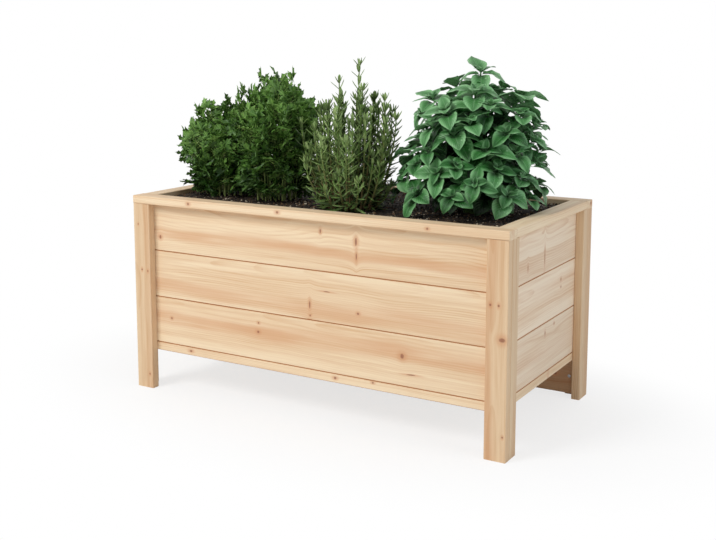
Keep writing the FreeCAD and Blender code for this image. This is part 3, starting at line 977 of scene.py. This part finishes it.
def basil_shoot(leaves, stems, foot, tip, axis, rise, random):
    """Adds a stem, a rosette at its tip and drooping pairs below it."""
    path = bowed_path(foot, tip, 0.02, 8)
    add_stem(stems, path, np.linspace(0.0032, 0.0014, len(path)))
    turn = random.uniform(0, math.pi)
    scale = random.uniform(0.72, 1.08)
    # Painted light and shade: shoots higher in the dome get a lighter tone
    tone = 0.6 + 0.27 * rise + random.uniform(-0.14, 0.14)
    for number, (share, upward, bend, depth) in enumerate(BASIL_PAIRS):
        place = tip - axis * depth * MM * scale
        own_turn = turn + number * QUARTER_TURN
        leaf_pair(leaves, place, axis, own_turn, share * scale, upward + 14 * rise, bend, tone, random)
    length = np.linalg.norm(tip - foot)
    for number, (depth, share) in enumerate(BASIL_LOWER_PAIRS, 1):
        if depth > LEAFY_SHARE * length:
            break
        place = point_along(path, 1 - depth / length)
        turn += QUARTER_TURN
        # Painted shade: each lower pair is darker than the one above
        leaf_pair(leaves, place, axis, turn, share * scale, 12, 66, tone - 0.32 * number, random)


def basil_leader(leaves, stems, foot, tip, random):
    """Adds the leading shoot, whose few large leaves stand clear of the bush."""
    settings = bpy.context.scene.bed_basil
    path = bowed_path(foot, tip, 0, 8)
    add_stem(stems, path, np.linspace(0.0036, 0.0016, len(path)))
    for depth, direction, share, rise, bend in BASIL_LEADER:
        place = tip - UPWARD * depth * MM
        size = (settings.leaf_length * share, settings.leaf_width * share)
        forward = compass(math.radians(direction))
        twist = random.uniform(-0.15, 0.15)
        basil_leaf(leaves, place, forward, UPWARD, size, rise, bend, 0.82, twist, 0.5)


def basil_tips(settings):
    """Tips spread over a dome by the golden angle, from its foot to its top."""
    for number in range(settings.shoots):
        rise = 1 - (1 - (number + 0.5) / settings.shoots) ** 0.9
        radius = settings.spread * math.cos(QUARTER_TURN * rise) ** BASIL_NARROWING
        outward = compass(GOLDEN_ANGLE * number)
        lift = settings.height * (LOWEST_TIP + (1 - LOWEST_TIP) * rise)
        yield np.array([*BASIL_PLACE, SOIL_LEVEL + lift]) + outward * radius, outward, rise


class BED_OT_basil(bpy.types.Operator):
    """Plant the basil: shoots from one foot, each with rosettes of arched leaves"""

    bl_idname = "garden_bed.basil"
    bl_label = "Basil"

    def execute(self, context):
        settings = context.scene.bed_basil
        random = np.random.default_rng(BASIL_SEED)
        leaves, stems = Pile(), Pile()
        centre = np.array([*BASIL_PLACE, SOIL_LEVEL])
        lean = np.array(BASIL_LEAN)
        sunk = UPWARD * STEM_DEPTH
        leader = centre + lean + UPWARD * settings.leader_height
        basil_leader(leaves, stems, centre - sunk, leader, random)
        for tip, outward, rise in basil_tips(settings):
            foot = centre + outward * BASIL_FOOT_RADIUS - sunk
            tip = tip + random.uniform(-1, 1, 3) * (0.012, 0.012, 0.014 * (1 - rise)) + lean * rise
            tip[0] = min(tip[0], BASIL_PLACE[0] + BASIL_REACH)
            axis = outward * (0.8 - 0.6 * rise) + UPWARD + random.uniform(-0.34, 0.34, 3)
            basil_shoot(leaves, stems, foot, tip, unit(axis), rise, random)
        greens = (settings.shade_green, settings.fresh, settings.pale)
        green = leaf_material("basil_leaf", *greens, **BASIL_LOOKS)
        leaves.piece("basil_leaves", green, "basil_leaf", "basil_plant")
        bark = stem_material("basil_stem", settings.stem, settings.fresh, 0.5)
        stems.piece("basil_stems", bark, "basil_leaf", "basil_plant")
        return {"FINISHED"}


# ---- Parsley ----------------------------------------------------------------

PARSLEY_CLUMPS = [
    {"place": (-0.332, -0.052), "height": 0.200, "spread": 0.072, "fall": 0.42, "stalks": 36},
    {"place": (-0.184, -0.060), "height": 0.256, "spread": 0.076, "fall": 0.26, "stalks": 44},
]

# One half of a leaflet's outline, as shares of its length along and across
PARSLEY_HALF = [
    (0.10, 0.05),
    (0.24, 0.34),
    (0.46, 0.56),
    (0.46, 0.30),
    (0.50, 0.13),
    (0.64, 0.20),
    (0.78, 0.25),
    (0.82, 0.09),
]
PARSLEY_RIM = np.array([(0, 0)] + PARSLEY_HALF + [(1, 0)] + [(a, -s) for a, s in reversed(PARSLEY_HALF)])
PARSLEY_MIDDLE = np.array([0.42, 0.0])
PARSLEY_SEED = 23
PARSLEY_DEPTH = 0.002
PARSLEY_LOOKS = {"veins": 6.0, "slant": 0.8, "roughness": 0.44, "relief": 0.0004, "lines": 1.0}
PARSLEY_FOOT_RADIUS = 0.046
# Share of a leaf's length that its middle stalk takes
PARSLEY_STALK_SHARE = 0.62


@functools.cache
def leaflet_faces():
    """Faces of a closed leaflet: its rim, with a middle point above and one below."""
    count = len(PARSLEY_RIM)
    rim = np.arange(count)
    following = np.roll(rim, -1)
    over, under = np.full(count, count), np.full(count, count + 1)
    return np.stack([following, rim, over], 1), np.stack([rim, following, under], 1)


def parsley_leaflet(pile, foot, forward, up, length, tone, random):
    """Adds a three-lobed toothed leaflet, raised along its lobes and wavy at its rim."""
    flat = PARSLEY_RIM * np.array([1, random.uniform(0.85, 1.15)])
    flat = np.vstack([flat, PARSLEY_MIDDLE, PARSLEY_MIDDLE])
    out = np.abs(flat[:, 1])
    wave = 0.06 * np.sin(flat[:, 0] * 17 + out * 9 + random.uniform(0, 6.28))
    height = wave - random.uniform(0.1, 0.45) * flat[:, 0] ** 2 + random.uniform(-0.25, 0.35) * out
    height[-2:] += (0.03, -0.01)
    local = np.column_stack([flat, height]) * length
    points = kept_clear(foot + local @ upright_frame(forward, up), 0.001)
    places = np.column_stack([flat[:, 1] * 1.6, flat[:, 0], np.zeros(len(flat))])
    places[-1, 2] = 1
    pile.add(points, leaflet_faces(), places, tone)


# Shares of a stalk's length where its side leaves sit
PARSLEY_LEVELS = (0.12, 0.27, 0.42, 0.57, 0.72, 0.87)

# Leaflets of one leaf: share of the leaf's length where each sits, turn in degrees, reach of its
# own short stalk as a share of the leaf's length, and size
PARSLEY_LEAFLETS = [
    (1.0, 0, 0.05, 1.1),
    (0.94, 52, 0.05, 0.9),
    (0.94, -52, 0.05, 0.9),
    (0.58, 40, 0.26, 0.9),
    (0.58, 84, 0.14, 0.75),
    (0.58, -40, 0.26, 0.9),
    (0.58, -84, 0.14, 0.75),
    (0.26, 64, 0.18, 0.7),
    (0.26, -64, 0.18, 0.7),
]


def parsley_leaf(leaflets, stalks, foot, forward, up, size, tone, random):
    """Adds a leaf of many leaflets on a short branched stalk."""
    settings = bpy.context.scene.bed_parsley
    length = settings.leaf_length * size
    forward, _, normal = upright_frame(forward, up)
    reach_of_stalk = forward * length * PARSLEY_STALK_SHARE
    add_stem(stalks, np.linspace(foot, foot + reach_of_stalk, 3), [0.0009, 0.0008, 0.0006], 4)
    for share, turn, reach, scale in PARSLEY_LEAFLETS:
        joint = foot + reach_of_stalk * share
        branch = turned_round(forward, normal, math.radians(turn + random.uniform(-14, 14)))
        branch = unit(branch + normal * random.uniform(-0.2, 0.22))
        end = joint + branch * length * reach
        add_stem(stalks, np.linspace(joint, end, 2), [0.0006, 0.0005], 3)
        tilt = unit(normal + branch * random.uniform(-0.3, 0.2) + random.uniform(-0.25, 0.25, 3))
        own_tone = a_little_off(tone, random.uniform(-0.28, 0.28))
        own_size = settings.leaflet_length * scale * size * random.uniform(0.85, 1.15)
        parsley_leaflet(leaflets, end, branch, tilt, own_size, own_tone, random)


def parsley_stalk(leaflets, stalks, foot, tip, outward, share, random):
    """Adds one stalk with an upright leaf at its tip and smaller leaves along it."""
    path = bowed_path(foot, tip, 0.004, 7)
    add_stem(stalks, path, np.linspace(0.0019, 0.0012, len(path)))
    heading = unit(outward * 0.8 * share + UPWARD + random.uniform(-0.3, 0.3, 3))
    facing = unit(outward + UPWARD * 0.4 + random.uniform(-0.35, 0.35, 3))
    tone = 0.78 - 0.06 * share + random.uniform(-0.12, 0.12)
    parsley_leaf(leaflets, stalks, tip - heading * 0.012, heading, facing, 1.0, tone, random)
    for level in PARSLEY_LEVELS:
        if random.uniform(0, 1) < 0.6 - 2.4 * level:
            continue
        spot = foot + (tip - foot) * level
        side = turned_round(outward, UPWARD, random.uniform(-1.2, 1.2))
        heading = unit(side * (1.0 - 0.5 * level) + UPWARD * random.uniform(0.1, 0.9))
        facing = unit(side + UPWARD * random.uniform(0.3, 1.1) + random.uniform(-0.4, 0.4, 3))
        size = random.uniform(0.65, 1.05)
        shade = tone - 0.6 * (1 - level) + random.uniform(-0.22, 0.18)
        parsley_leaf(leaflets, stalks, spot, heading, facing, size, shade, random)


class BED_OT_parsley(bpy.types.Operator):
    """Plant two clumps of parsley: stalks with divided, toothed leaves"""

    bl_idname = "garden_bed.parsley"
    bl_label = "Parsley"

    def execute(self, context):
        settings = context.scene.bed_parsley
        random = np.random.default_rng(PARSLEY_SEED)
        leaflets, stalks = Pile(), Pile()
        for clump in PARSLEY_CLUMPS:
            centre = np.array([*clump["place"], SOIL_LEVEL])
            for share, outward in scattered(clump["stalks"]):
                height = clump["height"] * (1 - clump["fall"] * share**2) * random.uniform(0.74, 1.0)
                tip = centre + outward * (clump["spread"] * share) + (0, 0, height)
                foot = centre + outward * (PARSLEY_FOOT_RADIUS * share) - (0, 0, PARSLEY_DEPTH)
                parsley_stalk(leaflets, stalks, foot, tip, outward, share, random)
        greens = (settings.shade_green, settings.fresh, settings.pale)
        green = leaf_material("parsley_leaf", *greens, **PARSLEY_LOOKS)
        leaflets.piece("parsley_leaves", green, "parsley_leaf", "parsley_plant")
        pale = stem_material("parsley_stalk", settings.stalk, settings.fresh, 0.5)
        stalks.piece("parsley_stalks", pale, "parsley_leaf", "parsley_plant")
        return {"FINISHED"}


# ---- Rosemary ---------------------------------------------------------------

ROSEMARY_SEED = 37
ROSEMARY_PLACE = (0.032, -0.088)
ROSEMARY_FOOT_RADIUS = 0.055
NEEDLE_SPACING = 0.0124
NEEDLE_LOOKS = {"veins": 1.0, "slant": 0.0, "roughness": 0.5, "relief": 0.0003, "lines": 1.0}
NEEDLE = Blade([0, 0.12, 0.45, 0.8, 1], [0.35, 0.85, 1.0, 0.8, 0.12], [-1, 0, 1], 0.0006, 0.001)


def rosemary_needle(pile, foot, forward, up, length, bend, tone):
    """Adds a narrow needle, domed above and curved along its length."""
    half = NEEDLE.widths * bpy.context.scene.bed_rosemary.needle_width / 2
    lift = half * (0.1 - 0.55 * NEEDLE.side**2)
    rib = midrib(NEEDLE.along, length, bend * 0.4, bend)
    NEEDLE.add(pile, foot, upright_frame(forward, up), rib, NEEDLE.side * half, lift, tone)


def vase_path(foot, top, count):
    """A path that leans out near its foot and then grows upright."""
    share = np.linspace(0, 1, count)[:, None]
    level = 1 - (1 - share) ** 1.7
    return foot + (top - foot) * np.hstack([level, level, share])


def needle_pair(pile, spot, direction, turn, open_angle, length, tone, random):
    """Adds two opposite needles that open from the stem by an angle."""
    level = upright_frame(np.cross(direction, (0.2, 0.9, 0.3)), direction)[0]
    for half_turn in (0, math.pi):
        side = turned_round(level, direction, turn + half_turn + random.uniform(-0.25, 0.25))
        angle = open_angle + random.uniform(-0.2, 0.2)
        forward = side * math.sin(angle) + direction * math.cos(angle)
        up = direction * math.sin(angle) - side * math.cos(angle)
        own_tone = a_little_off(tone, random.uniform(-0.4, 0.4))
        own_length = length * random.uniform(0.82, 1.1)
        rosemary_needle(pile, spot, forward, up, own_length, random.uniform(-0.5, 0.3), own_tone)


def rosemary_sprig(needles, stems, foot, top, shade, random):
    """Adds one stem with pairs of needles, long and level below, short and upright above."""
    needle_length = bpy.context.scene.bed_rosemary.needle_length
    path = vase_path(foot, top, 9)
    add_stem(stems, path, np.linspace(0.0026, 0.0012, len(path)))
    tangents = np.gradient(path, axis=0)
    count = int(np.linalg.norm(top - foot) / NEEDLE_SPACING)
    turn = random.uniform(0, 3)
    for number in range(count + 1):
        share = 0.03 + 0.97 * number / count
        spot = point_along(path, share)
        direction = unit(point_along(tangents, share))
        turn += QUARTER_TURN
        open_angle = math.radians(82 - 46 * share)
        length = needle_length * (1.02 - 0.34 * share)
        tone = 0.45 + 0.35 * share - shade
        needle_pair(needles, spot, direction, turn, open_angle, length, tone, random)
    for number, (degrees, share) in enumerate(((26, 0.6), (14, 0.48))):
        turn += QUARTER_TURN
        spot = path[-1] + direction * 0.002 * number
        length = needle_length * share
        needle_pair(needles, spot, direction, turn, math.radians(degrees), length, 0.85 - shade, random)


class BED_OT_rosemary(bpy.types.Operator):
    """Plant the rosemary: upright sprigs set with paired needles"""

    bl_idname = "garden_bed.rosemary"
    bl_label = "Rosemary"

    def execute(self, context):
        settings = context.scene.bed_rosemary
        random = np.random.default_rng(ROSEMARY_SEED)
        needles, stems = Pile(), Pile()
        centre = np.array([*ROSEMARY_PLACE, SOIL_LEVEL])
        sunk = (0, 0, STEM_DEPTH)
        for number, (share, outward) in enumerate(scattered(settings.sprigs)):
            foot = centre + outward * (ROSEMARY_FOOT_RADIUS * share) - sunk
            height = settings.height * (1 - 0.36 * share * share)
            height *= random.uniform(0.64, 1.0) if number else 1.0
            top = centre + outward * (settings.spread * share) + (0, 0, height)
            top = top + random.uniform(-1, 1, 3) * (0.014, 0.014, 0)
            shade = random.choice((0, 0, 0.3, 0.5)) if number else 0
            rosemary_sprig(needles, stems, foot, top, shade, random)
        for number in range(settings.low_sprigs):
            outward = compass(GOLDEN_ANGLE * number + 0.6)
            reach = random.uniform(0.05, 0.1)
            top = centre + outward * reach + (0, 0, random.uniform(0.02, 0.15))
            foot = centre + outward * (0.5 * reach) - sunk
            rosemary_sprig(needles, stems, foot, top, random.uniform(0, 0.35), random)
        # The first green, a fifth of the needle green, is painted shade at the needles' feet and on needles of
        # low tone
        greens = (tuple(channel * 0.2 for channel in settings.green), settings.green, settings.grey)
        green = leaf_material("rosemary_leaf", *greens, **NEEDLE_LOOKS)
        needles.piece("rosemary_needles", green, "rosemary_leaf", "rosemary_plant")
        bark = stem_material("rosemary_stem", settings.wood, settings.green, 0.75)
        stems.piece("rosemary_stems", bark, "rosemary_leaf", "rosemary_plant")
        return {"FINISHED"}


# ---- Soil and lining --------------------------------------------------------

SOIL_COLUMNS = 209
SOIL_ROWS = 98
# The soil's edge lies below its box by the drop, and rises from there by the crown over a margin
SOIL_EDGE_DROP = 0.0035
SOIL_CROWN = 0.003
SOIL_MARGIN = 0.028
CRUMB_SEED = 5
CRUMB_CORNERS = np.array([(1, 0, 0), (-1, 0, 0), (0, 1, 0), (0, -1, 0), (0, 0, 1), (0, 0, -1)], float)
CRUMB_SIDES = np.array(
    [(0, 2, 4), (2, 1, 4), (1, 3, 4), (3, 0, 4), (2, 0, 5), (1, 2, 5), (3, 1, 5), (0, 3, 5)]
)


def soil_material():
    """Damp peat with lighter bark and a few pale grains of grit."""
    soil = bpy.context.scene.bed_soil
    tree = Finish("potting_soil")
    tone = tree.carried("leaf_tone_and_shade", "Fac")
    bark = tree.times(tree.times(*blotches(tree, 0.012, 0.0018)), 0.5)
    brown = tree.add(bark, tree.spread(tone, 0.5, 0.82), clamp=True)
    colour = tree.mix(brown, soil.dark, soil.brown)
    looks = {"Base Color": tree.mix(tree.spread(tone, 0.88, 0.9), colour, soil.grey)}
    looks["Normal"] = tree.bump(0.9, 0.0015, tree.noise(tree.place(), 900.0, 4.0, 0.7))
    looks["Roughness"] = 0.92
    looks["Specular IOR Level"] = 0.3
    return tree.finished(looks)


def soil_height(x, y):
    """Lumps of the soil's surface, as a share of the unevenness."""
    broad = noise.noise(Vector((x * 14, y * 14, 3.7)))
    fine = noise.noise(Vector((x * 75, y * 75, 9.1)))
    return 0.55 * broad + 0.45 * fine


def soil_crumbs(settings, low, high):
    """Loose crumbs, each a lumpy eight-sided grain half sunk into the surface."""
    random = np.random.default_rng(CRUMB_SEED)
    pile = Pile()
    for _ in range(settings.crumbs):
        size = settings.crumb_size * random.uniform(0.25, 1) ** 1.6
        inset = size * 1.6
        x = random.uniform(low.x + inset, high.x - inset)
        y = random.uniform(low.y + inset, high.y - inset)
        ground = high.z - 0.001 + settings.unevenness * soil_height(x, y)
        shape = CRUMB_CORNERS * random.uniform(0.6, 1.3, (6, 1)) * size * random.uniform(0.6, 1.2, 3)
        turn = Matrix.Rotation(random.uniform(0, 6.28), 3, Vector(random.uniform(-1, 1, 3)))
        points = shape @ np.array(turn) + (x, y, ground)
        pile.add(points, (CRUMB_SIDES,), tone=random.uniform(0, 1))
    return pile


class BED_OT_soil(bpy.types.Operator):
    """Fill the bed with crumbly potting soil"""

    bl_idname = "garden_bed.soil"
    bl_label = "Potting soil"

    def execute(self, context):
        settings = context.scene.bed_soil
        low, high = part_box("potting_soil")
        top = []
        for x in np.linspace(low.x, high.x, SOIL_COLUMNS):
            for y in np.linspace(low.y, high.y, SOIL_ROWS):
                margin = min(x - low.x, high.x - x, y - low.y, high.y - y)
                crown = SOIL_CROWN * min(margin / SOIL_MARGIN, 1)
                lump = settings.unevenness * soil_height(x, y)
                top.append((x, y, high.z - SOIL_EDGE_DROP + crown + lump))
        top = np.array(top)
        grid = np.arange(len(top)).reshape(SOIL_COLUMNS, SOIL_ROWS)
        rim = np.concatenate([grid[:, 0], grid[-1, 1:], grid[-2::-1, -1], grid[0, -2:0:-1]])
        foot = top[rim] * np.array([1, 1, 0]) + np.array([0, 0, low.z])
        below = len(top) + np.arange(len(rim))
        sides = np.stack([rim, below, np.roll(below, -1), np.roll(rim, -1)], 1)
        soil = Pile()
        soil.add(np.concatenate([top, foot]), (cells(grid), sides, below[None, ::-1]), tone=0.2)
        material = soil_material()
        soil.piece("soil_bed", material, "potting_soil", "potting_soil")
        crumbs = soil_crumbs(settings, low, high)
        crumbs.piece("soil_crumbs", material, "potting_soil", "potting_soil")
        return {"FINISHED"}


# Space between the lining and the battens, and between the lining and its box
BATTEN_GAP = 0.0007
LINING_INSET = 0.0003
# Longest step round the lining, and its rings from the floor to the top
LINING_STEP = 0.02
LINING_RINGS = 16


def felt_material():
    """Non-woven felt: matted fibres with a faint quilted press pattern."""
    base = bpy.context.scene.bed_soil.fabric
    tree = Finish("lining_fabric")
    flattened = tree.vector("MULTIPLY", tree.place(), (1.0, 1.0, 2.5))
    fibres = tree.noise(flattened, 1400.0, 4.0, 0.75)
    pressed = tree.node("TexVoronoi", {"Vector": tree.place(), "Scale": 260.0}).outputs["Distance"]
    dark, light = tuple(0.6 * c for c in base), tuple(min(1, 1.5 * c) for c in base)
    looks = {"Base Color": tree.mix(tree.spread(fibres, 0.35, 0.7), dark, light), "Roughness": 0.95}
    looks["Normal"] = tree.bump(0.7, 0.0008, tree.add(fibres, tree.times(pressed, 0.8)))
    return tree.finished(looks)


def lining_outline(low, high):
    """Corners of the bag seen from above: the inside of the walls, round the battens."""
    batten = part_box("corner_batten_front_left")[1]
    middle_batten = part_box("middle_batten_front")[1]
    corner = max(batten.x - low.x, batten.y - low.y) + BATTEN_GAP
    half_middle = middle_batten.x + BATTEN_GAP
    depth = middle_batten.y - low.y + BATTEN_GAP
    x, y = high.x - LINING_INSET, high.y - LINING_INSET
    quarter = [(x, y - corner), (x - corner, y - corner), (x - corner, y)]
    quarter = np.array(quarter + [(half_middle, y), (half_middle, y - depth)])
    back = quarter[::-1]
    return np.concatenate([quarter, back * (-1, 1), quarter * (-1, -1), back * (1, -1)])


class BED_OT_lining(bpy.types.Operator):
    """Hang the felt lining inside the walls, round the battens and over the floor"""

    bl_idname = "garden_bed.lining"
    bl_label = "Lining"

    def execute(self, context):
        low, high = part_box("fabric_lining")
        outline = lining_outline(low, high)
        path = []
        for start, end in zip(outline, np.roll(outline, -1, axis=0)):
            steps = max(1, round(math.dist(start, end) / LINING_STEP))
            path += [start + (end - start) * (step / steps) for step in range(steps)]
        points = []
        for height in np.linspace(low.z + 0.0004, high.z, LINING_RINGS):
            for x, y in path:
                ripple = 1 - abs(0.0004 * noise.noise(Vector((x * 30, y * 30, height * 18))))
                points.append((x * ripple, y * ripple, height))
        faces = [tuple(reversed(range(len(path))))]
        faces += ring_cells(LINING_RINGS, len(path)).tolist()
        lining = made_object("felt_lining", points, faces, felt_material())
        fit_piece(lining, "fabric_lining")
        return {"FINISHED"}


# ---- Stage ------------------------------------------------------------------

FLOOR_REACH = 6.0
FLOOR_WHITE_NEAR = 0.72
COOL_LIGHT = (0.72, 0.85, 1.0)
CAMERA_PLACE = (1.2034, -2.0384, 0.7925)
CAMERA_TILT = math.pi / 2 - 0.1391
CAMERA_TURN = 0.5349
# The camera's view is shifted by this share of the picture's width
CAMERA_SHIFT = -80 / 716


def floor_material(colour):
    """Plain matt floor that keeps the shadow near the bed and turns white further out."""
    tree = Finish("studio_floor")
    place = tree.place()
    shade = tuple(0.985 * channel for channel in colour)
    looks = {"Base Color": tree.mix(tree.noise(place, 3.0), shade, colour)}
    looks |= {"Roughness": 0.9, "Specular IOR Level": 0.0}
    material = tree.finished(looks)
    reach = tree.vector("LENGTH", tree.vector("MULTIPLY", place, (1.0, 1.6, 0.0)))
    far = tree.spread(reach, 0.45, 0.95, FLOOR_WHITE_NEAR, 1.0)
    seen = tree.node("LightPath").outputs["Is Camera Ray"]
    white = tree.node("Emission").outputs["Emission"]
    shaders = {"Fac": tree.times(far, seen), 1: tree.surface.outputs["BSDF"], 2: white}
    mixed = tree.node("MixShader", shaders).outputs[0]
    tree.fed(tree.tree.nodes["Material Output"], {"Surface": mixed})
    return material


def studio_world(strength):
    """Even light from all sides, seen as white by the camera and in reflections."""
    world = bpy.data.worlds.new("studio")
    bpy.context.scene.world = world
    world.use_nodes = True
    tree = Tree(world.node_tree)
    rays = tree.node("LightPath").outputs
    seen = tree.math("MAXIMUM", rays["Is Camera Ray"], rays["Is Glossy Ray"], rays["Is Transmission Ray"])
    power = tree.node("MapRange", {"Value": seen, "To Min": strength, "To Max": 1.0}).outputs["Result"]
    tree.fed(world.node_tree.nodes["Background"], {"Color": (1, 1, 1, 1), "Strength": power})


def soft_lamp(name, place, target, size, power, colour=(1, 1, 1)):
    """A large square lamp that faces a point."""
    light = bpy.data.lights.new(name, "AREA")
    light.shape = "SQUARE"
    light.color = colour
    light.size = size
    light.energy = power
    lamp = bpy.data.objects.new(name, light)
    bpy.context.scene.collection.objects.link(lamp)
    lamp.location = place
    lamp.rotation_euler = (Vector(target) - Vector(place)).to_track_quat("-Z", "Y").to_euler()


class BED_OT_stage(bpy.types.Operator):
    """Set up the pale floor, the soft light and the camera"""

    bl_idname = "garden_bed.stage"
    bl_label = "Floor, light and camera"

    def execute(self, context):
        settings = context.scene.bed_stage
        scene = context.scene
        scene.view_settings.view_transform = "Standard"
        corners = [(x * FLOOR_REACH, y * FLOOR_REACH, 0) for x, y in ((-1, -1), (1, -1), (1, 1), (-1, 1))]
        made_object("studio_floor", corners, [(0, 1, 2, 3)], floor_material(settings.floor))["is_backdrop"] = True
        studio_world(settings.sky_light)
        soft_lamp("key_lamp", (-1.3, -2.8, 3.0), (0, 0, 0.35), 1.5, settings.key_light)
        soft_lamp("fill_lamp", (3.0, -0.3, 1.6), (0.3, 0, 0.3), 1.6, settings.fill_light, COOL_LIGHT)
        camera = bpy.data.objects.new("camera", bpy.data.cameras.new("camera"))
        scene.collection.objects.link(camera)
        scene.camera = camera
        camera.data.sensor_width = 36
        camera.data.lens = settings.lens
        camera.data.shift_y = CAMERA_SHIFT
        camera.location = CAMERA_PLACE
        camera.rotation_euler = (CAMERA_TILT, 0, CAMERA_TURN)
        return {"FINISHED"}


# ---- Panel and registration -------------------------------------------------

OPERATORS = (
    BED_OT_outer_boards,
    BED_OT_inner_boards,
    BED_OT_fasteners,
    BED_OT_lining,
    BED_OT_soil,
    BED_OT_parsley,
    BED_OT_rosemary,
    BED_OT_basil,
    BED_OT_stage,
)
SETTINGS = {
    "bed_wood": BedWoodSettings,
    "bed_soil": BedSoilSettings,
    "bed_basil": BedBasilSettings,
    "bed_parsley": BedParsleySettings,
    "bed_rosemary": BedRosemarySettings,
    "bed_stage": BedStageSettings,
}


class BED_PT_panel(bpy.types.Panel):
    """Lists the settings and steps of the garden bed"""

    bl_idname = "BED_PT_panel"
    bl_label = "Garden bed"
    bl_space_type = "VIEW_3D"
    bl_region_type = "UI"
    bl_category = "Garden bed"

    def draw(self, context):
        for operator in OPERATORS:
            self.layout.operator(operator.bl_idname)
        for name, group in SETTINGS.items():
            box = self.layout.box()
            box.label(text=group.__doc__)
            for setting in group.__annotations__:
                box.prop(getattr(context.scene, name), setting)


def register():
    for name, group in SETTINGS.items():
        bpy.utils.register_class(group)
        setattr(bpy.types.Scene, name, PointerProperty(type=group))
    for item in (*OPERATORS, BED_PT_panel):
        bpy.utils.register_class(item)


def unregister():
    for item in reversed((*OPERATORS, BED_PT_panel)):
        bpy.utils.unregister_class(item)
    for name, group in reversed(SETTINGS.items()):
        delattr(bpy.types.Scene, name)
        bpy.utils.unregister_class(group)


def main():
    register()
    steps = bpy.ops.garden_bed
    steps.outer_boards()
    steps.inner_boards()
    steps.fasteners()
    steps.lining()
    steps.soil()
    steps.parsley()
    steps.rosemary()
    steps.basil()
    steps.stage()
    boxes = {"cad": CAD_BOX, "visual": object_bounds()}
    {name: [list(corner) for corner in box] for name, box in boxes.items()}


if __name__ == "__main__":
    main()
